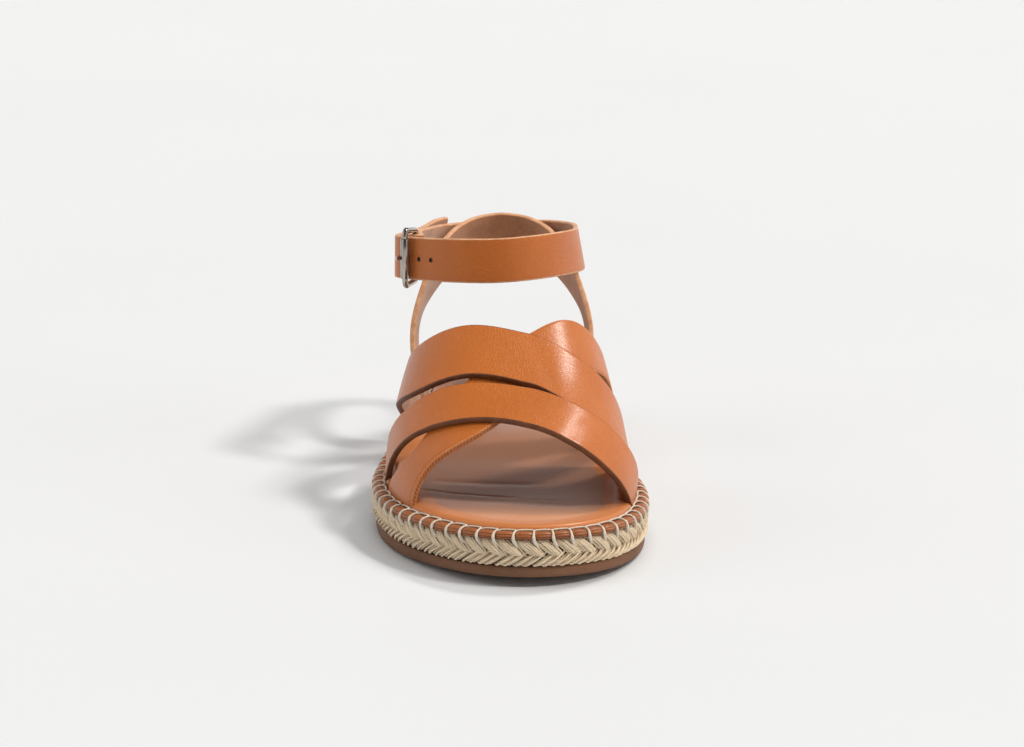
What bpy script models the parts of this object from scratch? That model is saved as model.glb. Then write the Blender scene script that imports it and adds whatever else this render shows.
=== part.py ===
"""Right-foot leather sandal on a flat sole that is wrapped in a plaited rope band.

Tables and sizes are in millimetres, and vertices are scaled to metres as they are made.
The toe points along -Y, the medial side is +X, and the sandal stands on Z = 0.
"""
import math

import bmesh
import bpy
import numpy as np

MM = 0.001
GAP = 0.3
OUTLINE_SAMPLES = 1441
TANGENT_STEP = 0.2
NORMAL_STEPS = (0.05, 0.002)
SMOOTH_ANGLE = 35.0
WIRE_SMOOTH_ANGLE = 60.0

# Driving sizes
SOLE_LENGTH = 242.0
TOE_SPRING = 3.0
SPRING_START = -65.0
ARCH_RISE = 2.0
ARCH_FRONT, ARCH_BACK = -30.0, 45.0

# Levels of the sole stack
OUTSOLE_TOP = 4.4
ROPE_TOP = 14.0
WELT_TOP = 16.5
INSOLE_TOP = 18.5

# Points round each ring of the sole
OUTSOLE_POINTS = 96
WELT_POINTS = 120
INSOLE_POINTS = 168

# Insets from the outline, measured square to it
OUTSOLE_INSET = 1.4
WELT_OUTER = 0.6
WELT_INNER = 4.5
INSOLE_INSET = 4.8
LAST_INSET = 7.0

# Rounded edges: width and height of the outsole's and the welt's, inset and drop along the insole's
OUTSOLE_EDGE = (1.0, 0.8)
WELT_EDGE = 0.9
INSOLE_EDGE = ((0.0, 1.8), (0.7, 0.6), (2.4, 0.0))

# Notches of the insole where straps go down: depth, plain stretch beyond the strap, run-out
NOTCH_DEPTH = 4.0
NOTCH_MARGIN = 3.0
NOTCH_RUN = 4.0

# Plaited rope band: two rows of strands that lean opposite ways, by a share of a strand
PLAIT_STRANDS = 84
PLAIT_STEPS = 3
PLAIT_LEAN = 0.6
PLAIT_BULGE = 1.5
PLAIT_LEVELS = (0.0, 0.5, 1.0, 1.5, 2.0)
PLAIT_RELIEF = 0.55

# Leather
STRAP_THICKNESS = 2.2
STRAP_SINK = 0.35
RIDE_MARGIN = 1.5
RIDE_SLOPE = 9.0
HEEL_THICKNESS = 2.0
ANKLE_THICKNESS = 1.9
ANKLE_WIDTH = 16.2
ANKLE_LEAN = 0.18
LEAN_RUN = 40.0

# Outline of the sole: angle from the toe (y = -L/2 cos angle), lateral x, medial x
OUTLINE = (
    (0, 6.9, 6.9),
    (15, -9.4, 23.2),
    (30, -24.2, 37.2),
    (45, -38.0, 46.0),
    (60, -47.2, 49.0),
    (75, -48.8, 45.2),
    (90, -44.0, 38.0),
    (105, -38.9, 32.5),
    (120, -36.5, 30.6),
    (135, -35.0, 29.4),
    (150, -29.8, 24.2),
    (165, -18.0, 12.4),
    (180, -3.0, -3.0),
)

# The last over the forefoot: y, height of the crown over the footbed, x of the crown
LAST = (
    (-131, 11.0, 7.0),
    (-100, 20.0, 6.7),
    (-75, 28.0, 6.2),
    (-55, 35.2, 5.6),
    (-35, 46.2, 4.7),
    (-15, 58.0, 3.2),
    (5, 68.0, 1.6),
    (25, 77.0, 0.0),
)
# Roundness of a section (1 is an ellipse, less is squarer) at the toes and at the instep
LATERAL_ROUND = (1.0, 0.85)
MEDIAL_ROUND = (0.9, 0.78)
ROUND_FRONT, ROUND_BACK = -90.0, -45.0
CROWN_ROUND = 0.95
# Overhang of the instep over its feather edge, as an angle below the widest level
LATERAL_TUCK = 8.0
MEDIAL_TUCK = 20.0
TUCK_FRONT, TUCK_BACK = -55.0, 0.0

# Vamp straps, lowest first: y of an edge at six equal steps from the lateral landing to the medial one
STRAP_STEPS = (0.0, 0.2, 0.4, 0.6, 0.8, 1.0)
VAMP_STRAPS = (
    ("strap_low", (-82.0, -82.0, -79.0, -51.5, -28.0, -11.0), (-55.0, -68.0, -48.0, -23.5, -13.0, 11.0)),
    ("strap_middle", (14.0, -37.0, -51.0, -67.0, -71.5, -57.0), (38.0, -11.0, -27.5, -40.0, -41.0, -33.0)),
    ("strap_top", (-46.0, -64.0, -77.5, -87.5, -88.5, -78.0), (-24.0, -46.0, -55.5, -68.0, -68.5, -59.5)),
)
LANDING_FADE = 0.14
STRAP_COLUMNS, STRAP_ROWS = 30, 6

# The heel: height, half width, y of the back; sections are superellipses about HEEL_X, HEEL_Y
HEEL_X, HEEL_Y = -3.0, 40.0
HEEL_POWER = 0.8
HEEL = (
    (14.0, 26.4, 113.0),
    (30.0, 31.0, 114.5),
    (50.0, 33.2, 114.5),
    (68.0, 28.6, 109.5),
    (86.0, 25.0, 105.0),
)
# Heel strap from a landing to the back: angle and height of the front edge, then of the arch edge
HEEL_STRAP = (
    (88, 15.2, 75, 15.2),
    (86, 34.0, 76, 36.0),
    (81, 52.0, 67, 48.0),
    (71, 67.5, 54, 53.5),
    (52, 76.0, 38, 59.5),
    (25, 81.2, 18, 63.5),
    (0, 83.2, 0, 65.0),
)
HEEL_COLUMNS, HEEL_ROWS = 32, 4

# Buckle: roller and hinge bar in plan, level of its middle, wire sizes
ROLLER_XY = (-39.0, 28.5)
HINGE_XY = (-35.5, 45.0)
ROLLER_END_HEIGHT = 21.0
HINGE_END_HEIGHT = 19.6
BUCKLE_CORNER = 2.2
BUCKLE_CORNER_STEPS = 3
BUCKLE_WIRE = 1.1
ROLLER_RADIUS = 1.75
ROLLER_LENGTH = 15.2
ROLLER_STEPS = 20
PRONG_WIRE = 0.9
PRONG_TURN_STEPS = 10
PRONG_CLEARANCE = 0.5
# Prong over the roller: distance from the roller axis to the hinge, drop below the crest
PRONG_TIP = ((3.0, 0.3), (0.0, 0.0), (-2.4, 0.7))
PRONG_TURN = 250.0
SLOT_SIZE = (7.4, 7.4, 3.4)
HOLE_RADIUS = 0.9
HOLE_PITCH = 6.2
HOLES_FROM_PRONG = (-3, -2, 1, 2)

# Route of the ankle strap in plan: hinge bar to heel, angles round the heel, heel to tail
ANKLE_TO_HEEL = ((-36.9, 55.0), (-35.0, 68.0))
ANKLE_HEEL_ANGLES = (62, 46, 30, 15, 0, -15, -30, -46, -62)
ANKLE_FROM_HEEL = (
    (26.6, 66.0),
    (25.8, 51.0),
    (20.4, 36.0),
    (11.4, 23.5),
    (0.0, 16.5),
    (-12.5, 15.4),
    (-25.0, 20.0),
    (-36.9, 31.0),
    (-41.6, 37.5),
    (-42.2, 45.0),
    (-39.8, 57.0),
    (-37.9, 69.0),
)
ANKLE_TAIL_ANGLES = (60, 49, 37)
FOLD_END = (-33.6, 61.0)
ANKLE_FRONT_LEVEL = (13.0, 83.7)
ANKLE_BACK_LEVEL = (110.0, 71.0)
MEDIAL_RISE = 1.4
RISE_FROM, RISE_RUN = -10.0, 35.0
ANKLE_HEEL_LEVEL = 71.0
HEEL_CLEARANCE = 1.5
TAIL_GAP = 0.8
TAIL_RISE = 2.4
TAIL_RUN = 30.0
ANKLE_STEP = 5.0
FOLD_STEPS = 8
FOLD_BACK_STEPS = 5
ANKLE_ROWS = 2

# Material colours (linear), roughness, metallic value
LOOKS = {
    "outsole": ((0.10, 0.06, 0.04), 0.75, 0.0),
    "rope_band": ((0.62, 0.48, 0.31), 0.9, 0.0),
    "welt": ((0.27, 0.09, 0.035), 0.55, 0.0),
    "metal": ((0.62, 0.60, 0.57), 0.22, 1.0),
    "leather": ((0.50, 0.19, 0.06), 0.45, 0.0),
}


def spline(knots, values, period=None):
    """Natural cubic through the knots, or a closed one when a period is given."""
    knots = np.asarray(knots, float)
    values = np.asarray(values, float)
    if period:
        knots = np.concatenate([knots - period, knots, knots + period])
        values = np.concatenate([values, values, values])
    count = len(knots)
    step = np.diff(knots)
    system = np.eye(count)
    bends = np.zeros(count)
    for i in range(1, count - 1):
        system[i, i - 1:i + 2] = step[i - 1], 2 * (step[i - 1] + step[i]), step[i]
        bends[i] = 6 * ((values[i + 1] - values[i]) / step[i] - (values[i] - values[i - 1]) / step[i - 1])
    moment = np.linalg.solve(system, bends)

    def value(at):
        at = np.asarray(at, float)
        i = np.clip(np.searchsorted(knots, at) - 1, 0, count - 2)
        t = at - knots[i]
        rise = (values[i + 1] - values[i]) / step[i] - step[i] * (2 * moment[i] + moment[i + 1]) / 6
        return values[i] + t * (rise + t * (moment[i] / 2 + t * (moment[i + 1] - moment[i]) / (6 * step[i])))

    return value


def smooth(t):
    """Ease from 0 to 1."""
    t = np.clip(t, 0.0, 1.0)
    return t * t * (3 - 2 * t)


def columns(table):
    return [np.array(column, float) for column in zip(*table)]


def run_length(path):
    """Distance along a path of points, from its first point."""
    return np.concatenate([[0.0], np.cumsum(np.linalg.norm(np.diff(path, axis=0), axis=1))])


ANGLES, LATERAL_X, MEDIAL_X = columns(OUTLINE)
outline_x = spline(
    np.concatenate([ANGLES, 360 - ANGLES[-2:0:-1]]),
    np.concatenate([LATERAL_X, MEDIAL_X[-2:0:-1]]),
    360.0,
)
LAST_Y, LAST_CROWN, LAST_X = columns(LAST)
crown_height = spline(LAST_Y, LAST_CROWN)
crown_x = spline(LAST_Y, LAST_X)
HEEL_Z, HEEL_WIDTH, HEEL_BACK = columns(HEEL)
heel_width = spline(HEEL_Z, HEEL_WIDTH)
heel_back = spline(HEEL_Z, HEEL_BACK)


def outline_angle(y):
    return np.degrees(np.arccos(np.clip(-2 * np.asarray(y, float) / SOLE_LENGTH, -1, 1)))


def edge_x(y, side, inset):
    """x of the outline at y, moved in square to it; side is -1 lateral, +1 medial."""
    def at(yy):
        angle = outline_angle(yy)
        return outline_x(angle if side < 0 else 360 - angle)
    slope = at(y + 0.5) - at(y - 0.5)
    return at(y) - side * inset * np.sqrt(1 + slope * slope)


def sole_lift(y):
    """Toe spring and arch, which the whole sole stack follows."""
    y = np.asarray(y, float)
    ahead = np.clip((SPRING_START - y) / (SPRING_START + SOLE_LENGTH / 2), 0, None)
    along = np.clip((y - ARCH_FRONT) / (ARCH_BACK - ARCH_FRONT), 0, 1)
    return TOE_SPRING * ahead ** 2 + ARCH_RISE * np.sin(np.pi * along) ** 2


def outline_points(count):
    """Evenly spaced points of the outline and their outward normals; point 0 is the toe, count/2 the heel."""
    half = count // 2
    ring = []
    for start in (0.0, 180.0):
        angle = np.linspace(start, start + 180.0, OUTLINE_SAMPLES)
        x = outline_x(angle)
        y = -SOLE_LENGTH / 2 * np.cos(np.radians(angle))
        run = np.concatenate([[0.0], np.cumsum(np.hypot(np.diff(x), np.diff(y)))])
        ring.append(np.interp(np.arange(half) * run[-1] / half, run, angle))
    angle = np.concatenate(ring)

    def at(a):
        return np.stack([outline_x(a), -SOLE_LENGTH / 2 * np.cos(np.radians(a))], -1)

    tangent = at(angle + TANGENT_STEP) - at(angle - TANGENT_STEP)
    tangent /= np.linalg.norm(tangent, axis=1, keepdims=True)
    normal = np.stack([-tangent[:, 1], tangent[:, 0]], -1)
    return at(angle), normal


def sole_ring(points, normals, inset, level):
    """One ring of a sole piece, bent with the toe spring and the arch."""
    plan = points - normals * np.broadcast_to(inset, len(points))[:, None]
    z = np.broadcast_to(level, len(points)) + sole_lift(plan[:, 1])
    return np.column_stack([plan, z])


def last_point(y, across):
    """The last over the forefoot; across runs 0 to 1 from the lateral feather edge to the medial one."""
    y = np.asarray(y, float)
    across = np.asarray(across, float)
    lateral = across < 0.5
    ridge = crown_x(y)
    base = ROPE_TOP + 2 * GAP + sole_lift(y)
    top = INSOLE_TOP + sole_lift(y) + crown_height(y)
    tuck = np.radians(np.where(lateral, LATERAL_TUCK, MEDIAL_TUCK))
    tuck = tuck * smooth((y - TUCK_FRONT) / (TUCK_BACK - TUCK_FRONT))
    turn = (2 * across - 1) * (math.pi / 2 + tuck)
    squarer = smooth((y - ROUND_FRONT) / (ROUND_BACK - ROUND_FRONT))
    toe = np.where(lateral, LATERAL_ROUND[0], MEDIAL_ROUND[0])
    instep = np.where(lateral, LATERAL_ROUND[1], MEDIAL_ROUND[1])
    roundness = toe + (instep - toe) * squarer
    share = np.sin(tuck) ** CROWN_ROUND
    centre = (base + top * share) / (1 + share)
    feather = np.where(lateral, edge_x(y, -1, LAST_INSET), edge_x(y, 1, LAST_INSET))
    x = ridge + (feather - ridge) * (np.abs(np.sin(turn)) / np.cos(tuck)) ** roundness
    rise = np.cos(turn)
    z = centre + (top - centre) * np.sign(rise) * np.abs(rise) ** CROWN_ROUND
    return np.stack([x, y + 0 * x, z], -1)


def lifted(surface, u, v, lift):
    """A point of surface(u, v), moved out along its normal."""
    du, dv = NORMAL_STEPS
    along = surface(u + du, v) - surface(u - du, v)
    around = surface(u, np.clip(v + dv, 0, 1)) - surface(u, np.clip(v - dv, 0, 1))
    normal = np.cross(around, along)
    normal /= np.linalg.norm(normal, axis=-1, keepdims=True)
    return surface(u, v) + normal * np.asarray(lift)[..., None]


def strap_cover(front, back, y, across):
    """1 where the strap with these edges lies, easing to 0 beside it."""
    outside = np.maximum(front(across) - y, y - back(across))
    return smooth(1 - (outside - RIDE_MARGIN) / RIDE_SLOPE)


def heel_point(angle, z, side, lift):
    """The heel at an angle from its back, in degrees, on one side, moved out level by lift."""
    width = heel_width(z) + lift
    depth = heel_back(z) - HEEL_Y + lift
    turn = np.radians(angle)
    x = HEEL_X + side * width * np.sin(turn) ** HEEL_POWER
    y = HEEL_Y + depth * np.cos(turn) ** HEEL_POWER
    return np.stack([x, y, z], -1)


def add_object(name, mesh, look, collection):
    obj = bpy.data.objects.new(name, mesh)
    collection.objects.link(obj)
    colour, roughness, metallic = LOOKS[look]
    material = bpy.data.materials.new(name)
    material.use_nodes = True
    shader = material.node_tree.nodes["Principled BSDF"]
    shader.inputs["Base Color"].default_value = (*colour, 1.0)
    shader.inputs["Roughness"].default_value = roughness
    shader.inputs["Metallic"].default_value = metallic
    mesh.materials.append(material)
    return obj


def finish_mesh(name, bm, smooth_angle=SMOOTH_ANGLE):
    bmesh.ops.recalc_face_normals(bm, faces=bm.faces)
    mesh = bpy.data.meshes.new(name)
    bm.to_mesh(mesh)
    bm.free()
    mesh.shade_smooth()
    mesh.set_sharp_from_angle(angle=math.radians(smooth_angle))
    return mesh


def loft_rings(name, rings, closed=False):
    """A solid through rings of equal count; ends are laddered, or the last ring joins the first."""
    bm = bmesh.new()
    verts = [[bm.verts.new(point * MM) for point in ring] for ring in rings]
    count = len(verts[0])
    pairs = list(zip(verts, verts[1:] + verts[:1])) if closed else list(zip(verts, verts[1:]))
    for low, high in pairs:
        for i in range(count):
            j = (i + 1) % count
            bm.faces.new((low[i], low[j], high[j], high[i]))
    if not closed:
        for ring in (verts[0], verts[-1]):
            bm.faces.new((ring[0], ring[1], ring[-1]))
            for i in range(1, count // 2 - 1):
                bm.faces.new((ring[i], ring[i + 1], ring[-i - 1], ring[-i]))
            heel = count // 2
            bm.faces.new((ring[heel - 1], ring[heel], ring[heel + 1]))
    return finish_mesh(name, bm)


def sheet(name, grid):
    """An open surface through a grid of points."""
    bm = bmesh.new()
    verts = [[bm.verts.new(point * MM) for point in row] for row in grid]
    for low, high in zip(verts, verts[1:]):
        for i in range(len(low) - 1):
            bm.faces.new((low[i], low[i + 1], high[i + 1], high[i]))
    mesh = bpy.data.meshes.new(name)
    bm.to_mesh(mesh)
    bm.free()
    mesh.shade_smooth()
    mesh.set_sharp_from_angle(angle=math.radians(SMOOTH_ANGLE))
    return mesh


def solidify(obj, thickness, offset):
    wall = obj.modifiers.new("wall", "SOLIDIFY")
    wall.thickness = thickness * MM
    wall.offset = offset
    wall.use_even_offset = True


def combine(obj, other, operation):
    cut = obj.modifiers.new(other.name, "BOOLEAN")
    cut.object = other
    cut.operation = operation
    cut.solver = "EXACT"


def hide_cutter(obj):
    obj.hide_render = True
    obj.display_type = "WIRE"


def make_outsole(parts):
    points, normals = outline_points(OUTSOLE_POINTS)
    edge_width, edge_height = OUTSOLE_EDGE
    rings = [
        sole_ring(points, normals, OUTSOLE_INSET + edge_width, 0.0),
        sole_ring(points, normals, OUTSOLE_INSET, edge_height),
        sole_ring(points, normals, OUTSOLE_INSET, OUTSOLE_TOP),
    ]
    add_object("outsole", loft_rings("outsole", rings), "outsole", parts)


def make_rope_band(parts):
    """The plaited band: two bulging rows, with strands that lean one way above and the other below."""
    count = PLAIT_STRANDS * PLAIT_STEPS
    points, normals = outline_points(count)
    phase = 2 * math.pi * np.arange(count) / PLAIT_STEPS
    low = OUTSOLE_TOP + GAP
    tall = (ROPE_TOP - low) / 2
    rings = []
    for height in PLAIT_LEVELS:
        swell = abs(math.sin(math.pi * height))
        lean = 2 * math.pi * PLAIT_LEAN * (0.5 - abs(height - 1))
        inset = PLAIT_BULGE * (1 - swell) + PLAIT_RELIEF * (1 - np.cos(phase + lean))
        rings.append(sole_ring(points, normals, inset, low + tall * height))
    add_object("rope_band", loft_rings("rope_band", rings), "rope_band", parts)


def make_welt(parts):
    points, normals = outline_points(WELT_POINTS)
    low = ROPE_TOP + GAP
    section = (
        (WELT_OUTER, low),
        (WELT_OUTER, WELT_TOP - WELT_EDGE),
        (WELT_OUTER + WELT_EDGE, WELT_TOP),
        (WELT_INNER, WELT_TOP),
        (WELT_INNER, low),
    )
    rings = [sole_ring(points, normals, inset, level) for inset, level in section]
    add_object("welt", loft_rings("welt", rings, closed=True), "welt", parts)


def landings():
    """Side, first y and last y of each place where a strap goes down into the sole."""
    spans = []
    for _, front, back in VAMP_STRAPS:
        spans.append((-1, front[0], back[0]))
        spans.append((1, front[-1], back[-1]))
    front_y = heel_point(HEEL_STRAP[0][0], HEEL_STRAP[0][1], 1, 0.0)[1]
    back_y = heel_point(HEEL_STRAP[0][2], HEEL_STRAP[0][3], 1, 0.0)[1]
    spans += [(side, front_y, back_y) for side in (-1, 1)]
    return spans


def make_insole(parts):
    """The footbed, let in where straps pass down beside it."""
    points, normals = outline_points(INSOLE_POINTS)
    notch = np.zeros(len(points))
    for side, first, last in landings():
        beyond = np.maximum(first - points[:, 1], points[:, 1] - last)
        on_side = np.sign(points[:, 0] - crown_x(np.clip(points[:, 1], *LAST_Y[[0, -1]]))) == side
        notch = np.maximum(notch, on_side * smooth(1 - (beyond - NOTCH_MARGIN) / NOTCH_RUN))
    inset = INSOLE_INSET + NOTCH_DEPTH * notch
    rings = [sole_ring(points, normals, inset, ROPE_TOP + GAP)]
    rings += [sole_ring(points, normals, inset + into, INSOLE_TOP - drop) for into, drop in INSOLE_EDGE]
    add_object("insole", loft_rings("insole", rings), "leather", parts)


def make_vamp(parts, cutters):
    """Three straps over the last; each rides over the ones below it, and they are joined where they cross."""
    across = np.linspace(0, 1, STRAP_COLUMNS + 1)[None, :]
    rows = np.linspace(0, 1, STRAP_ROWS + 1)[:, None]
    fade = smooth(np.minimum(across, 1 - across) / LANDING_FADE)
    below = []
    upper = None
    for name, front_y, back_y in VAMP_STRAPS:
        front = spline(STRAP_STEPS, front_y)
        back = spline(STRAP_STEPS, back_y)
        y = front(across) + (back(across) - front(across)) * rows
        lift = np.zeros_like(y)
        for under_front, under_back in below:
            ride = (STRAP_THICKNESS - STRAP_SINK) * strap_cover(under_front, under_back, y, across)
            lift = np.maximum(lift, ride * fade)
        grid = lifted(last_point, y, across + 0 * rows, lift)
        below.append((front, back))
        if upper is None:
            upper = add_object("vamp_straps", sheet(name, grid), "leather", parts)
            solidify(upper, STRAP_THICKNESS, 1.0)
        else:
            strap = add_object(name, sheet(name, grid), "leather", cutters)
            solidify(strap, STRAP_THICKNESS, 1.0)
            hide_cutter(strap)
            combine(upper, strap, "UNION")


def make_heel_strap(parts):
    """One band from landing to landing over the back of the heel, arched underneath."""
    share = np.linspace(0, 1, len(HEEL_STRAP))
    curves = [spline(share, column) for column in columns(HEEL_STRAP)]
    along = np.linspace(-1, 1, HEEL_COLUMNS + 1)
    at = 1 - np.abs(along)
    front_angle, front_z, arch_angle, arch_z = [np.maximum(curve(at), 0.0) for curve in curves]
    grid = []
    for row in np.linspace(0, 1, HEEL_ROWS + 1):
        angle = np.maximum(front_angle + (arch_angle - front_angle) * row, 1e-6)
        z = front_z + (arch_z - front_z) * row
        grid.append(heel_point(angle, z, np.sign(along + 1e-9), 0.0))
    heel = add_object("heel_strap", sheet("heel_strap", np.array(grid)), "leather", parts)
    solidify(heel, HEEL_THICKNESS, 1.0)


BUCKLE_U = np.subtract(HINGE_XY, ROLLER_XY)
BUCKLE_LENGTH = float(np.hypot(*BUCKLE_U))
BUCKLE_U = BUCKLE_U / BUCKLE_LENGTH
BUCKLE_N = np.array([-BUCKLE_U[1], BUCKLE_U[0]])
BUCKLE_MIDDLE = np.add(HINGE_XY, ROLLER_XY) / 2


def ankle_level(x, y):
    """Height of the middle of the ankle strap, which falls to the back and rises to the medial side."""
    (y0, z0), (y1, z1) = ANKLE_FRONT_LEVEL, ANKLE_BACK_LEVEL
    return z0 + (z1 - z0) * (y - y0) / (y1 - y0) + MEDIAL_RISE * smooth((x - RISE_FROM) / RISE_RUN)


def buckle_point(u, n, z):
    """A point from the middle of the buckle: u to the back, n out from the ankle, z up."""
    plan = BUCKLE_MIDDLE + u * BUCKLE_U + n * BUCKLE_N
    return np.array([plan[0], plan[1], ankle_level(*plan) + z])


def heel_ring(angle, lift):
    """Plan point round the heel at the ankle strap's level; negative angles are medial."""
    side = -1 if angle > 0 else 1
    return heel_point(max(abs(angle), 1e-6), ANKLE_HEEL_LEVEL, side, lift)[:2]


def ankle_path():
    """Plan points of the strap: fold-back, turn round the hinge bar, ring, tail."""
    hinge = np.array(HINGE_XY)
    turn_radius = BUCKLE_WIRE + GAP + ANKLE_THICKNESS / 2
    turn = []
    for i in range(FOLD_STEPS + 1):
        angle = math.pi * i / FOLD_STEPS
        turn.append(hinge - turn_radius * (math.cos(angle) * BUCKLE_N + math.sin(angle) * BUCKLE_U))
    clear = HEEL_THICKNESS + HEEL_CLEARANCE + ANKLE_THICKNESS / 2
    behind = [heel_ring(angle, clear) for angle in ANKLE_HEEL_ANGLES]
    tail = [heel_ring(angle, clear + ANKLE_THICKNESS + TAIL_GAP) for angle in ANKLE_TAIL_ANGLES]
    route = np.array([turn[-1], *ANKLE_TO_HEEL, *behind, *ANKLE_FROM_HEEL, *tail])
    run = run_length(route)
    stations = np.linspace(0, run[-1], round(run[-1] / ANKLE_STEP) + 1)
    ring = np.column_stack([spline(run, route[:, 0])(stations), spline(run, route[:, 1])(stations)])
    fold = np.linspace(FOLD_END, turn[0], FOLD_BACK_STEPS)
    return np.concatenate([fold[:-1], turn, ring[1:]])


def path_normals(path):
    tangent = np.gradient(path, axis=0)
    tangent /= np.linalg.norm(tangent, axis=1, keepdims=True)
    return np.column_stack([-tangent[:, 1], tangent[:, 0]])


def rod(name, points, radius, look, collection, cyclic=False):
    """A round wire through points, as a mesh."""
    curve = bpy.data.curves.new(name, "CURVE")
    curve.dimensions = "3D"
    curve.bevel_depth = radius * MM
    curve.bevel_resolution = 2
    curve.use_fill_caps = not cyclic
    line = curve.splines.new("POLY")
    line.points.add(len(points) - 1)
    for target, point in zip(line.points, points):
        target.co = (*(np.asarray(point) * MM), 1.0)
    line.use_cyclic_u = cyclic
    wire = bpy.data.objects.new(name + "_route", curve)
    collection.objects.link(wire)
    evaluated = wire.evaluated_get(bpy.context.evaluated_depsgraph_get())
    mesh = bpy.data.meshes.new_from_object(evaluated)
    bpy.data.objects.remove(wire)
    bm = bmesh.new()
    bm.from_mesh(mesh)
    bmesh.ops.remove_doubles(bm, verts=bm.verts, dist=0.00001)
    bpy.data.meshes.remove(mesh)
    return add_object(name, finish_mesh(name, bm, WIRE_SMOOTH_ANGLE), look, collection)


def prong_route():
    """From a turn round the hinge bar, through the strap, to a tip over the roller."""
    reach = BUCKLE_WIRE + GAP + PRONG_WIRE
    hinge_u = BUCKLE_LENGTH / 2
    route = []
    for step in range(PRONG_TURN_STEPS + 1):
        angle = math.radians(180 - PRONG_TURN * (1 - step / PRONG_TURN_STEPS))
        route.append(buckle_point(hinge_u + reach * math.cos(angle), -reach * math.sin(angle), 0.0))
    over = ROLLER_RADIUS + GAP + PRONG_WIRE
    roller_u = -BUCKLE_LENGTH / 2
    route += [buckle_point(roller_u + ahead, over - drop, 0.0) for ahead, drop in PRONG_TIP]
    return route


def make_buckle(parts):
    half_u = BUCKLE_LENGTH / 2
    frame = []
    for corner, (su, sz) in enumerate(((1, 1), (-1, 1), (-1, -1), (1, -1))):
        height = HINGE_END_HEIGHT if su > 0 else ROLLER_END_HEIGHT
        for step in range(BUCKLE_CORNER_STEPS + 1):
            angle = math.radians(90 * (corner + step / BUCKLE_CORNER_STEPS))
            u = su * (half_u - BUCKLE_CORNER) + BUCKLE_CORNER * math.cos(angle)
            z = sz * (height / 2 - BUCKLE_CORNER) + BUCKLE_CORNER * math.sin(angle)
            frame.append(buckle_point(u, 0.0, z))
    rod("buckle_frame", frame, BUCKLE_WIRE, "metal", parts, cyclic=True)
    rod("buckle_prong", prong_route(), PRONG_WIRE, "metal", parts)

    bore = BUCKLE_WIRE + GAP
    profile = ((bore, 0.5), (ROLLER_RADIUS, 0.5), (ROLLER_RADIUS, -0.5), (bore, -0.5))
    bm = bmesh.new()
    verts = [bm.verts.new((radius * MM, 0, height * ROLLER_LENGTH * MM)) for radius, height in profile]
    for a, b in zip(verts, verts[1:] + verts[:1]):
        bm.edges.new((a, b))
    mesh = bpy.data.meshes.new("buckle_roller")
    bm.to_mesh(mesh)
    bm.free()
    roller = add_object("buckle_roller", mesh, "metal", parts)
    roller.location = buckle_point(-half_u, 0.0, 0.0) * MM
    turned = roller.modifiers.new("turned", "SCREW")
    turned.steps = turned.render_steps = ROLLER_STEPS
    turned.use_merge_vertices = True
    turned.merge_threshold = 0.00001
    turned.use_smooth_shade = True


def make_ankle_strap(parts, cutters):
    """The strap round the ankle: folded on the hinge bar, under the roller, over the prong, to its tail."""
    path = ankle_path()
    outward = path_normals(path)
    run = run_length(path)
    level = ankle_level(path[:, 0], path[:, 1]) + TAIL_RISE * smooth((run - run[-1] + TAIL_RUN) / TAIL_RUN)
    lean = ANKLE_LEAN * smooth(np.linalg.norm(path - BUCKLE_MIDDLE, axis=1) / LEAN_RUN)
    grid = []
    for height in np.linspace(-0.5, 0.5, ANKLE_ROWS + 1) * ANKLE_WIDTH:
        plan = path - outward * (lean * height)[:, None]
        grid.append(np.column_stack([plan, level + height]))
    strap = add_object("ankle_strap", sheet("ankle_strap", np.array(grid)), "leather", parts)
    solidify(strap, ANKLE_THICKNESS, 0.0)

    bm = bmesh.new()
    bmesh.ops.create_cube(bm, size=MM)
    bmesh.ops.scale(bm, vec=SLOT_SIZE, verts=bm.verts)
    slot = add_object("prong_slot", finish_mesh("prong_slot", bm), "metal", cutters)
    slot.location = buckle_point(BUCKLE_LENGTH / 2, 0.0, 0.0) * MM
    slot.rotation_euler.z = math.atan2(BUCKLE_U[1], BUCKLE_U[0])
    hide_cutter(slot)
    combine(strap, slot, "DIFFERENCE")

    shank = np.array(prong_route()[PRONG_TURN_STEPS:PRONG_TURN_STEPS + 2])
    passage = rod("prong_hole", shank, PRONG_WIRE + PRONG_CLEARANCE, "metal", cutters)
    hide_cutter(passage)
    combine(strap, passage, "DIFFERENCE")

    tail = len(path) - 1 - np.argmin(np.linalg.norm(path[::-1] - shank[:, :2].mean(axis=0), axis=1))
    for number in HOLES_FROM_PRONG:
        at = run[tail] + number * HOLE_PITCH
        centre = np.array([np.interp(at, run, column) for column in (*path.T, level)])
        normal = np.array([np.interp(at, run, column) for column in outward.T])
        through = np.array([*normal, 0.0]) * ANKLE_THICKNESS
        punch = rod(f"hole_{number}", (centre - through, centre + through), HOLE_RADIUS, "metal", cutters)
        hide_cutter(punch)
        combine(strap, punch, "DIFFERENCE")


def main():
    for obj in list(bpy.data.objects):
        bpy.data.objects.remove(obj)
    parts = bpy.data.collections.new("leather_sandal")
    cutters = bpy.data.collections.new("cutters")
    for collection in (parts, cutters):
        bpy.context.scene.collection.children.link(collection)
    make_outsole(parts)
    make_rope_band(parts)
    make_welt(parts)
    make_insole(parts)
    make_vamp(parts, cutters)
    make_heel_strap(parts)
    make_ankle_strap(parts, cutters)
    make_buckle(parts)


main()
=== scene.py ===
"""Dresses the leather sandal: plaited rope edge, stitched welt, footbed, straps and buckle.

Tables and sizes of the shoe are in millimetres, and points are scaled to metres as meshes are made.
The toe points along -Y, the medial side is +X, and the sandal stands on Z = 0.
"""

import math

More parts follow.
